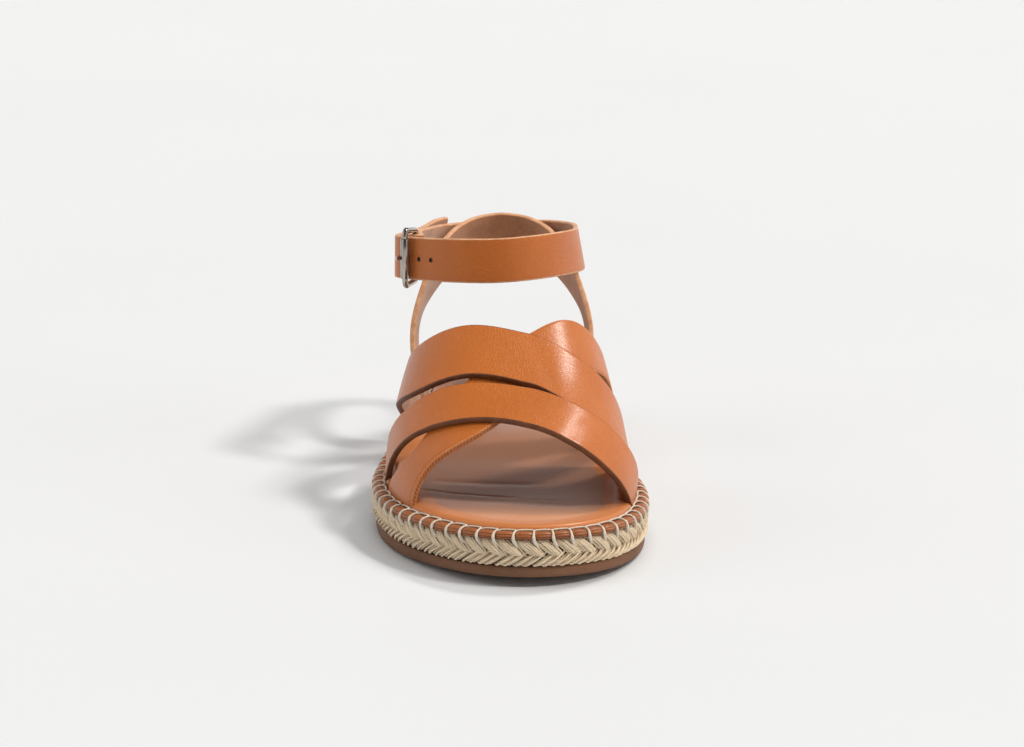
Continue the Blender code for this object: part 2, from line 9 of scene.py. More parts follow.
import bmesh
import bpy
import numpy as np
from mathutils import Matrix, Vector


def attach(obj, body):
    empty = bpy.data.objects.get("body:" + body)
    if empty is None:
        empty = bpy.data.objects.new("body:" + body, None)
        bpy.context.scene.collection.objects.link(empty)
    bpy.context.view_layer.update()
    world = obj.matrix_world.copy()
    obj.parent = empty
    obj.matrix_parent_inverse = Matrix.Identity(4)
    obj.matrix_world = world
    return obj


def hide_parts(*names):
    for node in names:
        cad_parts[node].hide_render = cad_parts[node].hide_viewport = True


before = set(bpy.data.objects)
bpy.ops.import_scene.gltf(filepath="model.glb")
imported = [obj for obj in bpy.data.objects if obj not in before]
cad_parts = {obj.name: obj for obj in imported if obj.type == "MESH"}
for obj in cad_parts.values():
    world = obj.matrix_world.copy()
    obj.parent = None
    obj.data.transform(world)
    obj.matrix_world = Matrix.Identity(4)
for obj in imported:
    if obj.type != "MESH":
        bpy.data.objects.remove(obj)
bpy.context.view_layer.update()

bl_info = {
    "name": "Leather Sandal",
    "version": (1, 0, 0),
    "blender": (4, 5, 0),
    "location": "3D View > Sidebar > Sandal",
    "description": "Builds a leather sandal with a plaited rope edge piece by piece",
    "category": "Add Mesh",
}

BODY = "root"
MM = 0.001
# Room left between neighbouring pieces
GAP = 0.3

# The sole stack
SOLE_LENGTH = 242.0
TOE_SPRING = 3.0
SPRING_START = -65.0
ARCH_RISE = 2.0
ARCH_FRONT, ARCH_BACK = -30.0, 45.0
OUTSOLE_TOP = 4.4
ROPE_TOP = 14.0
INSOLE_TOP = 18.5
OUTSOLE_INSET = 1.4
INSOLE_INSET = 4.8
LAST_INSET = 7.0

# Outline of the sole: angle from the toe (y = -L/2 cos angle), lateral x, medial x
OUTLINE = (
    (0, 6.9, 6.9),
    (15, -9.4, 23.2),
    (30, -24.2, 37.2),
    (45, -38.0, 46.0),
    (60, -47.2, 49.0),
    (75, -48.8, 45.2),
    (90, -44.0, 38.0),
    (105, -38.9, 32.5),
    (120, -36.5, 30.6),
    (135, -35.0, 29.4),
    (150, -29.8, 24.2),
    (165, -18.0, 12.4),
    (180, -3.0, -3.0),
)

# The last over the forefoot: y, height of the crown over the footbed, x of the crown
LAST = (
    (-131, 11.0, 7.0),
    (-100, 20.0, 6.7),
    (-75, 28.0, 6.2),
    (-55, 35.2, 5.6),
    (-35, 46.2, 4.7),
    (-15, 58.0, 3.2),
    (5, 68.0, 1.6),
    (25, 77.0, 0.0),
)
# How round each side is at the toe and at the instep, and between which y it changes
LATERAL_ROUND = (1.0, 0.85)
MEDIAL_ROUND = (0.9, 0.78)
ROUND_FRONT, ROUND_BACK = -90.0, -45.0
CROWN_ROUND = 0.95
# Degrees by which each side turns in underneath at the instep, and between which y
LATERAL_TUCK = 8.0
MEDIAL_TUCK = 20.0
TUCK_FRONT, TUCK_BACK = -55.0, 0.0

# Vamp straps, lowest first: y of an edge at six equal steps from the lateral landing to the medial one
STRAP_STEPS = (0.0, 0.2, 0.4, 0.6, 0.8, 1.0)
VAMP_STRAPS = (
    ("strap_low", (-82.0, -82.0, -79.0, -51.5, -28.0, -11.0), (-55.0, -68.0, -48.0, -23.5, -13.0, 11.0)),
    ("strap_middle", (14.0, -37.0, -51.0, -67.0, -71.5, -57.0), (38.0, -11.0, -27.5, -40.0, -41.0, -33.0)),
    ("strap_top", (-46.0, -64.0, -77.5, -87.5, -88.5, -78.0), (-24.0, -46.0, -55.5, -68.0, -68.5, -59.5)),
)
STRAP_THICKNESS = 2.2
STRAP_SLACK = 0.1
# How far the upper straps ride over the ones below, in strap thicknesses, at eleven equal steps from the
# lateral landing to the medial one: front edge, back edge
RIDES = {
    "strap_middle": (
        (0, 0, 0.25, 0.7, 1.0, 1.05, 0.85, 0.35, 0.08, 0, 0),
        (0, 0, 0.05, 0.35, 0.8, 1.05, 1.1, 1.0, 0.65, 0.25, 0),
    ),
    "strap_top": (
        (0, 0.25, 0.88, 1.04, 1.0, 0.75, 0.45, 0.25, 0.12, 0.05, 0),
        (0, 0.2, 0.6, 0.95, 1.15, 1.4, 1.6, 1.45, 1.2, 1.0, 0),
    ),
}

# The heel: height, half width, y of the back; sections are superellipses about HEEL_X, HEEL_Y
HEEL_X, HEEL_Y = -3.0, 40.0
HEEL_POWER = 0.8
HEEL_THICKNESS = 2.0
HEEL = (
    (14.0, 26.4, 113.0),
    (30.0, 31.0, 114.5),
    (50.0, 33.2, 114.5),
    (68.0, 28.6, 109.5),
    (86.0, 25.0, 105.0),
)
# Heel strap from a landing to the back: angle and height of the front edge, then of the arch edge
HEEL_STRAP = (
    (88, 15.2, 75, 15.2),
    (86, 34.0, 76, 36.0),
    (81, 52.0, 67, 48.0),
    (71, 67.5, 54, 53.5),
    (52, 76.0, 38, 59.5),
    (25, 81.2, 18, 63.5),
    (0, 83.2, 0, 65.0),
)

# Ankle strap and buckle
ANKLE_THICKNESS = 1.9
ANKLE_WIDTH = 16.2
# How much its upper edge leans in, as a slope, and over what run from the buckle
ANKLE_LEAN = 0.18
LEAN_RUN = 40.0
# Plan points of the roller's bar and of the hinge bar, and how tall the frame is at each
ROLLER_XY = (-39.0, 28.5)
HINGE_XY = (-35.5, 45.0)
ROLLER_END_HEIGHT = 21.0
HINGE_END_HEIGHT = 19.6
BUCKLE_CORNER = 2.2
BUCKLE_WIRE = 1.1
ROLLER_RADIUS = 1.75
ROLLER_LENGTH = 15.2
PRONG_WIRE = 0.9
# Degrees that the prong turns round the hinge bar
PRONG_TURN = 250.0
PRONG_TURN_STEPS = 10
# Its course over the roller: how far behind the roller's middle, how far below the top
PRONG_TIP = ((3.0, 0.3), (0.0, 0.0), (-2.4, 0.7))
# Slot for the prong: along, out, up; then the room round the prong in the strap
SLOT_SIZE = (7.4, 7.4, 3.4)
PRONG_CLEARANCE = 0.5
HOLE_RADIUS = 0.9
HOLE_PITCH = 6.2
# Holes, counted from the one that the prong is in
HOLES_FROM_PRONG = (-3, -2, 1, 2)
# Plan of the strap: from the hinge bar to the heel, round it by angles, round the front
ANKLE_TO_HEEL = ((-36.9, 55.0), (-35.0, 68.0))
ANKLE_HEEL_ANGLES = (62, 46, 30, 15, 0, -15, -30, -46, -62)
ANKLE_FROM_HEEL = (
    (26.6, 66.0),
    (25.8, 51.0),
    (20.4, 36.0),
    (11.4, 23.5),
    (0.0, 16.5),
    (-12.5, 15.4),
    (-25.0, 20.0),
    (-36.9, 31.0),
    (-41.6, 37.5),
    (-42.2, 45.0),
    (-39.8, 57.0),
    (-37.9, 69.0),
)
ANKLE_TAIL_ANGLES = (60, 49, 37)
# Where the fold-back ends
FOLD_END = (-33.6, 61.0)
# Level of the strap's middle: y and height in front and at the back
ANKLE_FRONT_LEVEL = (13.0, 83.7)
ANKLE_BACK_LEVEL = (110.0, 71.0)
# Its rise on the medial side: by how much, from which x, over what run
MEDIAL_RISE = 1.4
RISE_FROM, RISE_RUN = -10.0, 35.0
# Level at which the strap follows the heel, and how far it stays off the heel strap
ANKLE_HEEL_LEVEL = 71.0
HEEL_CLEARANCE = 1.5
# The tail: gap to the strap inside it, rise to its end, over what run
TAIL_GAP = 0.8
TAIL_RISE = 2.4
TAIL_RUN = 30.0

# Plaited rope: strands in a row, lean of the upper and the lower ones as a share of a strand, and the points
# of the sole's outline for each strand
PLAIT_STRANDS = 84
PLAIT_LEAN = 0.92
LOWER_LEAN = 1.15
SOLE_STEPS = 24
# Points read on each half of the outline before they are spaced evenly
HALF_SAMPLES = 1441
# Half of the steps over which its slope and its direction are read: mm along the shoe, degrees
SLOPE_HALF, ANGLE_HALF = 0.5, 0.2


# Form of the shoe

def spline(knots, values, period=None):
    """Natural cubic through the knots, or a closed one when a period is given."""
    knots = np.asarray(knots, float)
    values = np.asarray(values, float)
    if period:
        knots = np.concatenate([knots - period, knots, knots + period])
        values = np.concatenate([values, values, values])
    count = len(knots)
    step = np.diff(knots)
    system = np.eye(count)
    bends = np.zeros(count)
    for i in range(1, count - 1):
        system[i, i - 1:i + 2] = step[i - 1], 2 * (step[i - 1] + step[i]), step[i]
        bends[i] = 6 * ((values[i + 1] - values[i]) / step[i] - (values[i] - values[i - 1]) / step[i - 1])
    moment = np.linalg.solve(system, bends)

    def value(at):
        at = np.asarray(at, float)
        i = np.clip(np.searchsorted(knots, at) - 1, 0, count - 2)
        t = at - knots[i]
        rise = (values[i + 1] - values[i]) / step[i] - step[i] * (2 * moment[i] + moment[i + 1]) / 6
        return values[i] + t * (rise + t * (moment[i] / 2 + t * (moment[i + 1] - moment[i]) / (6 * step[i])))

    return value


def smooth(t):
    """Ease from 0 to 1."""
    t = np.clip(t, 0.0, 1.0)
    return t * t * (3 - 2 * t)


def columns(table):
    """Columns of a table of rows."""
    return [np.array(column, float) for column in zip(*table)]


def unit(vectors):
    """Vectors scaled to a length of 1."""
    return vectors / np.maximum(np.linalg.norm(vectors, axis=-1, keepdims=True), 1e-12)


def run_length(path):
    """Distance along a path of points, from its first point."""
    return np.concatenate([[0.0], np.cumsum(np.linalg.norm(np.diff(path, axis=0), axis=1))])


ANGLES, LATERAL_X, MEDIAL_X = columns(OUTLINE)
outline_x = spline(
    np.concatenate([ANGLES, 360 - ANGLES[-2:0:-1]]),
    np.concatenate([LATERAL_X, MEDIAL_X[-2:0:-1]]),
    360.0,
)
LAST_Y, LAST_CROWN, LAST_X = columns(LAST)
crown_height = spline(LAST_Y, LAST_CROWN)
crown_x = spline(LAST_Y, LAST_X)
HEEL_Z, HEEL_WIDTH, HEEL_BACK = columns(HEEL)
heel_width = spline(HEEL_Z, HEEL_WIDTH)
heel_back = spline(HEEL_Z, HEEL_BACK)


def outline_angle(y):
    """Angle of the outline's table at y, on the lateral side."""
    return np.degrees(np.arccos(np.clip(-2 * np.asarray(y, float) / SOLE_LENGTH, -1, 1)))


def edge_x(y, side, inset):
    """x of the outline at y, moved in square to it; side is -1 lateral, +1 medial."""
    def at(yy):
        angle = outline_angle(yy)
        return outline_x(angle if side < 0 else 360 - angle)
    slope = (at(y + SLOPE_HALF) - at(y - SLOPE_HALF)) / (2 * SLOPE_HALF)
    return at(y) - side * inset * np.sqrt(1 + slope * slope)


def sole_lift(y):
    """Toe spring and arch, which the whole sole stack follows."""
    y = np.asarray(y, float)
    ahead = np.clip((SPRING_START - y) / (SPRING_START + SOLE_LENGTH / 2), 0, None)
    along = np.clip((y - ARCH_FRONT) / (ARCH_BACK - ARCH_FRONT), 0, 1)
    return TOE_SPRING * ahead ** 2 + ARCH_RISE * np.sin(np.pi * along) ** 2


def outline_points(count):
    """Evenly spaced points of the outline and their outward normals; point 0 is the toe, count/2 the heel."""
    def at(angle):
        return np.stack([outline_x(angle), -SOLE_LENGTH / 2 * np.cos(np.radians(angle))], -1)

    half = count // 2
    spaced = []
    for start in (0.0, 180.0):
        angle = np.linspace(start, start + 180.0, HALF_SAMPLES)
        run = run_length(at(angle))
        spaced.append(np.interp(np.arange(half) * run[-1] / half, run, angle))
    angle = np.concatenate(spaced)
    tangent = unit(at(angle + ANGLE_HALF) - at(angle - ANGLE_HALF))
    return at(angle), np.stack([-tangent[:, 1], tangent[:, 0]], -1)


EDGE_POINTS, EDGE_NORMALS = outline_points(PLAIT_STRANDS * SOLE_STEPS)


def on_sole(strand, inset, level):
    """A point beside the outline: how many strands round from the toe, inset and level."""
    at = np.mod(np.asarray(strand, float), PLAIT_STRANDS) * SOLE_STEPS
    low = np.floor(at).astype(int)
    share = (at - low)[..., None]
    count = len(EDGE_POINTS)
    point = EDGE_POINTS[low % count] * (1 - share) + EDGE_POINTS[(low + 1) % count] * share
    normal = unit(EDGE_NORMALS[low % count] * (1 - share) + EDGE_NORMALS[(low + 1) % count] * share)
    plan = point - normal * np.asarray(inset)[..., None]
    z = level + sole_lift(plan[..., 1])
    return np.concatenate([plan, z[..., None]], -1)


def last_point(y, across):
    """The last over the forefoot; across runs 0 to 1 from the lateral feather edge to the medial one."""
    y = np.asarray(y, float)
    across = np.asarray(across, float)
    lateral = across < 0.5
    ridge = crown_x(y)
    base = ROPE_TOP + 2 * GAP + sole_lift(y)
    top = INSOLE_TOP + sole_lift(y) + crown_height(y)
    tuck = np.radians(np.where(lateral, LATERAL_TUCK, MEDIAL_TUCK))
    tuck = tuck * smooth((y - TUCK_FRONT) / (TUCK_BACK - TUCK_FRONT))
    turn = (2 * across - 1) * (math.pi / 2 + tuck)
    squarer = smooth((y - ROUND_FRONT) / (ROUND_BACK - ROUND_FRONT))
    toe = np.where(lateral, LATERAL_ROUND[0], MEDIAL_ROUND[0])
    instep = np.where(lateral, LATERAL_ROUND[1], MEDIAL_ROUND[1])
    roundness = toe + (instep - toe) * squarer
    share = np.sin(tuck) ** CROWN_ROUND
    centre = (base + top * share) / (1 + share)
    feather = np.where(lateral, edge_x(y, -1, LAST_INSET), edge_x(y, 1, LAST_INSET))
    x = ridge + (feather - ridge) * (np.abs(np.sin(turn)) / np.cos(tuck)) ** roundness
    rise = np.cos(turn)
    z = centre + (top - centre) * np.sign(rise) * np.abs(rise) ** CROWN_ROUND
    return np.stack([x, y + 0 * x, z], -1)


def lifted(surface, u, v, lift):
    """A point of surface(u, v), moved out along its normal."""
    du, dv = 0.05, 0.002
    along = surface(u + du, v) - surface(u - du, v)
    around = surface(u, np.clip(v + dv, 0, 1)) - surface(u, np.clip(v - dv, 0, 1))
    return surface(u, v) + unit(np.cross(around, along)) * np.asarray(lift)[..., None]


def heel_point(angle, z, side, lift):
    """The heel at an angle from its back, in degrees, on one side, moved out level by lift."""
    width = heel_width(z) + lift
    depth = heel_back(z) - HEEL_Y + lift
    turn = np.radians(angle)
    x = HEEL_X + side * width * np.sin(turn) ** HEEL_POWER
    y = HEEL_Y + depth * np.cos(turn) ** HEEL_POWER
    return np.stack([x, y, z], -1)


def landings():
    """Side, first y and last y of each place where a strap goes down into the sole."""
    spans = []
    for _, front, back in VAMP_STRAPS:
        spans.append((-1, front[0], back[0]))
        spans.append((1, front[-1], back[-1]))
    front_y = heel_point(HEEL_STRAP[0][0], HEEL_STRAP[0][1], 1, 0.0)[1]
    back_y = heel_point(HEEL_STRAP[0][2], HEEL_STRAP[0][3], 1, 0.0)[1]
    spans += [(side, front_y, back_y) for side in (-1, 1)]
    return spans


BUCKLE_U = np.subtract(HINGE_XY, ROLLER_XY)
BUCKLE_LENGTH = float(np.hypot(*BUCKLE_U))
BUCKLE_U = BUCKLE_U / BUCKLE_LENGTH
BUCKLE_N = np.array([-BUCKLE_U[1], BUCKLE_U[0]])
BUCKLE_MIDDLE = np.add(HINGE_XY, ROLLER_XY) / 2


def ankle_level(x, y):
    """Height of the middle of the ankle strap, which falls to the back and rises to the medial side."""
    (y0, z0), (y1, z1) = ANKLE_FRONT_LEVEL, ANKLE_BACK_LEVEL
    return z0 + (z1 - z0) * (y - y0) / (y1 - y0) + MEDIAL_RISE * smooth((x - RISE_FROM) / RISE_RUN)


def buckle_point(u, n, z):
    """A point from the middle of the buckle: u to the back, n out from the ankle, z up."""
    plan = BUCKLE_MIDDLE + u * BUCKLE_U + n * BUCKLE_N
    return np.array([plan[0], plan[1], ankle_level(*plan) + z])


def heel_ring(angle, lift):
    """Plan point round the heel at the ankle strap's level; negative angles are medial."""
    side = -1 if angle > 0 else 1
    return heel_point(max(abs(angle), 1e-6), ANKLE_HEEL_LEVEL, side, lift)[:2]


def ankle_path(step, fold_steps):
    """Plan points of the strap: fold-back, turn round the hinge bar, ring, tail."""
    hinge = np.array(HINGE_XY)
    turn_radius = BUCKLE_WIRE + GAP + ANKLE_THICKNESS / 2
    turn = []
    for i in range(fold_steps + 1):
        angle = math.pi * i / fold_steps
        turn.append(hinge - turn_radius * (math.cos(angle) * BUCKLE_N + math.sin(angle) * BUCKLE_U))
    clear = HEEL_THICKNESS + HEEL_CLEARANCE + ANKLE_THICKNESS / 2
    behind = [heel_ring(angle, clear) for angle in ANKLE_HEEL_ANGLES]
    tail = [heel_ring(angle, clear + ANKLE_THICKNESS + TAIL_GAP) for angle in ANKLE_TAIL_ANGLES]
    route = np.array([turn[-1], *ANKLE_TO_HEEL, *behind, *ANKLE_FROM_HEEL, *tail])
    run = run_length(route)
    stations = np.linspace(0, run[-1], round(run[-1] / step) + 1)
    ring = np.column_stack([spline(run, route[:, 0])(stations), spline(run, route[:, 1])(stations)])
    fold_length = np.linalg.norm(np.subtract(FOLD_END, turn[0]))
    fold = np.linspace(FOLD_END, turn[0], round(fold_length / step) + 1)
    return np.concatenate([fold[:-1], turn, ring[1:]])


def prong_route():
    """From a turn round the hinge bar, through the strap, to a tip over the roller."""
    reach = BUCKLE_WIRE + GAP + PRONG_WIRE
    hinge_u = BUCKLE_LENGTH / 2
    route = []
    for step in range(PRONG_TURN_STEPS + 1):
        angle = math.radians(180 - PRONG_TURN * (1 - step / PRONG_TURN_STEPS))
        route.append(buckle_point(hinge_u + reach * math.cos(angle), -reach * math.sin(angle), 0.0))
    over = ROLLER_RADIUS + GAP + PRONG_WIRE
    roller_u = -BUCKLE_LENGTH / 2
    route += [buckle_point(roller_u + behind, over - drop, 0.0) for behind, drop in PRONG_TIP]
    return np.array(route)


# Meshes

GRAIN, CUT, FLESH = 0, 1, 2
PLAIN_ROWS = np.linspace(1, 0, 21)
# Points across a strap that measure its width, and the share across over which its slope is read
WIDTH_PROBES = 13
ACROSS_STEP = 0.01
# Bends over this many degrees stay sharp, unless a piece gives its own
SHARP_BEND = 40.0
# A tube that starts out steeper than this takes its first ring from the X axis
STEEP = 0.9


def quads(net):
    """Corners of each face of a net of point numbers, or of a batch of nets."""
    low, high = net[..., :-1, :], net[..., 1:, :]
    return np.stack([low[..., :-1], low[..., 1:], high[..., 1:], high[..., :-1]], -1)


class Skin:
    """Gathers grids of points into one mesh.

    Each point keeps where it lies on its material: run along in mm, place across in mm or as a share round a
    tube, and a third value, which is the distance from a cut edge on leather and its own number on a yarn.
    """

    def __init__(self):
        self.points = []
        self.lay = []
        self.faces = []
        self.zones = []
        self.count = 0

    def add_points(self, grid, lay):
        """Adds a grid or a batch of grids of points, and returns their numbers."""
        index = self.count + np.arange(np.prod(grid.shape[:-1])).reshape(grid.shape[:-1])
        self.points.append(grid.reshape(-1, 3))
        self.lay.append(np.broadcast_to(lay, grid.shape).reshape(-1, 3))
        self.count += index.size
        return index

    def add_faces(self, faces, zone=0):
        self.faces += faces
        self.zones += [zone] * len(faces)

    def add(self, grid, lay, zones=0, wrap_rows=False, wrap_columns=False, cap_zone=None):
        """Adds points and the faces between them; zones are by column, and caps close the end rows."""
        index = self.add_points(grid, lay)
        net = index
        if wrap_rows:
            net = np.concatenate([net, net[..., :1, :]], axis=-2)
        if wrap_columns:
            net = np.concatenate([net, net[..., :1]], axis=-1)
        corners = quads(net)
        self.faces += corners.reshape(-1, 4).tolist()
        self.zones += np.broadcast_to(zones, corners.shape[:-1]).reshape(-1).tolist()
        if cap_zone is not None:
            for end in (index[..., 0, ::-1], index[..., -1, :]):
                self.add_faces(end.reshape(-1, end.shape[-1]).tolist(), cap_zone)
        return index

    def mesh(self, name, materials, smooth_angle=SHARP_BEND):
        """The mesh with its faces turned outward; bends over smooth_angle degrees stay sharp."""
        mesh = bpy.data.meshes.new(name)
        mesh.from_pydata((np.concatenate(self.points) * MM).tolist(), [], self.faces)
        lay = mesh.attributes.new("lay", "FLOAT_VECTOR", "POINT")
        lay.data.foreach_set("vector", np.concatenate(self.lay).astype(np.float32).ravel())
        for material in materials:
            mesh.materials.append(material)
        mesh.polygons.foreach_set("material_index", self.zones)
        bm = bmesh.new()
        bm.from_mesh(mesh)
        bmesh.ops.recalc_face_normals(bm, faces=bm.faces)
        bm.to_mesh(mesh)
        bm.free()
        mesh.shade_smooth()
        mesh.set_sharp_from_angle(angle=math.radians(smooth_angle))
        return mesh


def place(name, skin, materials, slot, *nodes, smooth_angle=SHARP_BEND):
    """Makes a piece of a skin and puts it on the shoe's body, in place of the solids it stands for."""
    obj = bpy.data.objects.new(name, skin.mesh(name, materials, smooth_angle))
    bpy.context.scene.collection.objects.link(obj)
    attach(obj, BODY)
    if nodes:
        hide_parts(*nodes)
    return obj


def once_round(steps):
    """Angles of equal steps once round."""
    return 2 * math.pi * np.arange(steps) / steps


def tube_rings(paths, radii, sides, closed=False):
    """Rings of points round a batch of paths, carried along each path without twisting."""
    if closed:
        tangent = np.roll(paths, -1, axis=1) - np.roll(paths, 1, axis=1)
    else:
        tangent = np.gradient(paths, axis=1)
    tangent = unit(tangent)
    helper = np.where(np.abs(tangent[:, 0, 2:3]) < STEEP, [[0.0, 0.0, 1.0]], [[1.0, 0.0, 0.0]])
    carried = np.cross(tangent[:, 0], helper)
    normal = np.empty_like(paths)
    for i in range(paths.shape[1]):
        carried = unit(carried - np.sum(carried * tangent[:, i], axis=-1, keepdims=True) * tangent[:, i])
        normal[:, i] = carried
    binormal = np.cross(tangent, normal)
    angle = once_round(sides)
    around = normal[:, :, None] * np.cos(angle)[:, None] + binormal[:, :, None] * np.sin(angle)[:, None]
    return paths[:, :, None] + around * np.broadcast_to(radii, (*paths.shape[:2], sides))[..., None]


def tube_lay(paths, sides):
    """Run along each tube, share round it, and the tube's own number."""
    run = np.cumsum(np.linalg.norm(np.diff(paths, axis=1, prepend=paths[:, :1]), axis=-1), axis=1)
    lay = np.empty((*paths.shape[:2], sides, 3))
    lay[..., 0] = run[..., None]
    lay[..., 1] = np.arange(sides) / sides
    lay[..., 2] = np.arange(len(paths), dtype=float)[:, None, None]
    return lay


def tubes(paths, radii, sides, closed=False):
    """Skin of tubes along a batch of paths, which are closed loops or have flat ends."""
    skin = Skin()
    rings = tube_rings(paths, radii, sides, closed)
    ends = None if closed else 0
    skin.add(rings, tube_lay(paths, sides), wrap_rows=closed, wrap_columns=True, cap_zone=ends)
    return skin


def strap_section(thickness, corner, rows_across):
    """Section of a strap, once round from the middle of its flesh side.

    Each point has a share across the strap, an offset across in mm and a height; each step has its zone.
    """
    shoulder = thickness - corner
    bends = np.radians((30.0, 60.0, 90.0))
    early_bends = bends - bends[0]

    def flat(shares, height, zone):
        return [(share, corner * (1 - 2 * share), height, zone) for share in shares]

    rows = flat((0.5, 0.75, 1.0), 0.0, FLESH)
    rows += [(1.0, corner * (math.sin(a) - 1), corner * (1 - math.cos(a)), CUT) for a in bends]
    rows += [(1.0, corner * (math.cos(a) - 1), shoulder + corner * math.sin(a), CUT) for a in early_bends]
    rows += flat(rows_across, thickness, GRAIN)
    rows += [(0.0, corner * (1 - math.sin(a)), shoulder + corner * math.cos(a), CUT) for a in bends]
    rows += [(0.0, corner * (1 - math.cos(a)), corner - corner * math.sin(a), CUT) for a in early_bends]
    rows += flat((0.0, 0.25), 0.0, FLESH)
    return [np.array(column) for column in zip(*rows)]


def band(surface, thickness, corner, rows_across=PLAIN_ROWS, relief=None):
    """Skin of a strap with rounded cut edges.

    surface(share) gives its flesh side, a row of points for each step along it, and relief adds height.
    """
    share, offset, height, zone = strap_section(thickness, corner, rows_across)
    edge_to_edge = surface(np.linspace(0, 1, WIDTH_PROBES)[None, :])
    width = np.linalg.norm(np.diff(edge_to_edge, axis=1), axis=-1).sum(axis=1)[:, None]
    across = share[None, :] + offset[None, :] / width
    flesh = surface(across)
    over = surface(across + ACROSS_STEP) - surface(across - ACROSS_STEP)
    normal = unit(np.cross(np.gradient(flesh, axis=0), over))
    run = run_length(surface(np.array([[0.5]]))[:, 0])[:, None]
    rim = np.minimum(across, 1 - across) * width
    lay = np.stack([run + 0 * across, across * width, rim], -1)
    high = np.broadcast_to(height, across.shape)
    if relief is not None:
        high = high + relief(run / run[-1] + 0 * across, across, across * width)
    following = np.where(zone == np.roll(zone, -1), zone, CUT)
    skin = Skin()
    skin.add(flesh + normal * high[..., None], lay, following, wrap_columns=True, cap_zone=CUT)
    return skin


# Shader wiring

def rgba(colour):
    return (*colour, 1.0)


class Wiring:
    """Adds nodes to a node tree; an input given a socket is linked, any other value is set."""

    def __init__(self, tree):
        self.tree = tree

    def link(self, output, socket):
        self.tree.links.new(output, socket)

    def add(self, kind, inputs=None, **settings):
        made = self.tree.nodes.new(kind)
        for key, value in settings.items():
            setattr(made, key, value)
        for key, value in (inputs or {}).items():
            if isinstance(value, bpy.types.NodeSocket):
                self.link(value, made.inputs[key])
            else:
                made.inputs[key].default_value = value
        return made

    def math(self, operation, a, b=0.0, clamp=False):
        return self.add("ShaderNodeMath", {0: a, 1: b}, operation=operation, use_clamp=clamp).outputs[0]

    def ease(self, value, low, high, to_low=0.0, to_high=1.0):
        """Smooth step of a value between two bounds."""
        inputs = {"Value": value, "From Min": low, "From Max": high, "To Min": to_low, "To Max": to_high}
        return self.add("ShaderNodeMapRange", inputs, interpolation_type="SMOOTHSTEP").outputs[0]

    def blend(self, share, a, b, kind="MIX"):
        """Mix of two colours."""
        made = self.add("ShaderNodeMix", {0: share, 6: a, 7: b}, data_type="RGBA", blend_type=kind)
        return made.outputs[2]

    def noise(self, vector, scale, detail=2.0, roughness=0.5):
        inputs = {"Vector": vector, "Scale": scale, "Detail": detail, "Roughness": roughness}
        return self.add("ShaderNodeTexNoise", inputs).outputs["Fac"]

    def place(self):
        """Place on the object, in metres."""
        return self.add("ShaderNodeTexCoord").outputs["Object"]

    def axes(self, vector):
        return self.add("ShaderNodeSeparateXYZ", {0: vector}).outputs

    def lay(self):
        """The three values that each point keeps of where it lies on its material."""
        return self.axes(self.add("ShaderNodeAttribute", attribute_name="lay").outputs["Vector"])

    def stretched(self, scale):
        """Place on the object, drawn out by a scale for each axis."""
        return self.add("ShaderNodeMapping", {"Vector": self.place(), "Scale": scale}).outputs[0]

    def group(self, name, inputs):
        """Outputs of a shared node group, which is built when it is first asked for."""
        if name not in bpy.data.node_groups:
            GROUP_MAKERS[name](name)
        return self.add("ShaderNodeGroup", inputs, node_tree=bpy.data.node_groups[name]).outputs

    def dye(self, colour, deep, strength, patches=45.0):
        """Colour that varies unevenly between two colours."""
        inputs = {
            "Colour": rgba(colour),
            "Deep colour": rgba(deep),
            "Patches per metre": patches,
            "Strength": strength,
        }
        return self.group("Uneven dye", inputs)["Colour"]

    def scuffs(self, **inputs):
        """Mask of scuffs, with the group's inputs by name and _ for a space."""
        return self.group("Scuffs", {key.replace("_", " "): value for key, value in inputs.items()})["Mask"]

    def bump(self, shader, height, strength, depth):
        """Bump of a height, whose depth is in mm."""
        made = self.add("ShaderNodeBump", {"Height": height, "Strength": strength, "Distance": depth * MM})
        self.link(made.outputs[0], shader["Normal"])


def new_group(name, inputs, outputs):
    """An empty node group with its sockets: returns its wiring, its inputs and its output node."""
    tree = bpy.data.node_groups.new(name, "ShaderNodeTree")
    for label, (kind, default) in inputs.items():
        socket = tree.interface.new_socket(label, in_out="INPUT", socket_type=kind)
        socket.default_value = default
    for label, kind in outputs.items():
        tree.interface.new_socket(label, in_out="OUTPUT", socket_type=kind)
    wiring = Wiring(tree)
    return wiring, wiring.add("NodeGroupInput").outputs, wiring.add("NodeGroupOutput").inputs


FLOAT, COLOUR = "NodeSocketFloat", "NodeSocketColor"

# Leather grain: wander of its cells per metre and in metres, width of a fold in cells, swells per metre
GRAIN_WANDER, GRAIN_SHIFT, GRAIN_FOLD, GRAIN_SWELLS = 600.0, 0.0006, 0.22, 420.0
# Uneven dye: specks per metre, share of the patches and of the specks in the colour
DYE_SPECKS, PATCH_SHARE, SPECK_SHARE = 900.0, 0.6, 0.4
# Burnished rim: waves of its line per metre, how far they reach in mm
RIM_WAVES, RIM_REACH = 300.0, 0.8
# Fibres: room of a fibre round the yarn and along it, distance between two yarns' patterns, their tint
FIBRE_ROOM, FIBRE_ALONG, YARN_APART, YARN_TINT = 0.16, 0.35, 7.3, 0.4
GOLDEN_SHARE = 0.6180339
# Scuffs: how they are drawn out along each axis, hazy places per metre
SCUFF_STRETCH, SCUFF_HAZES = (1.0, 0.22, 3.0), 38.0


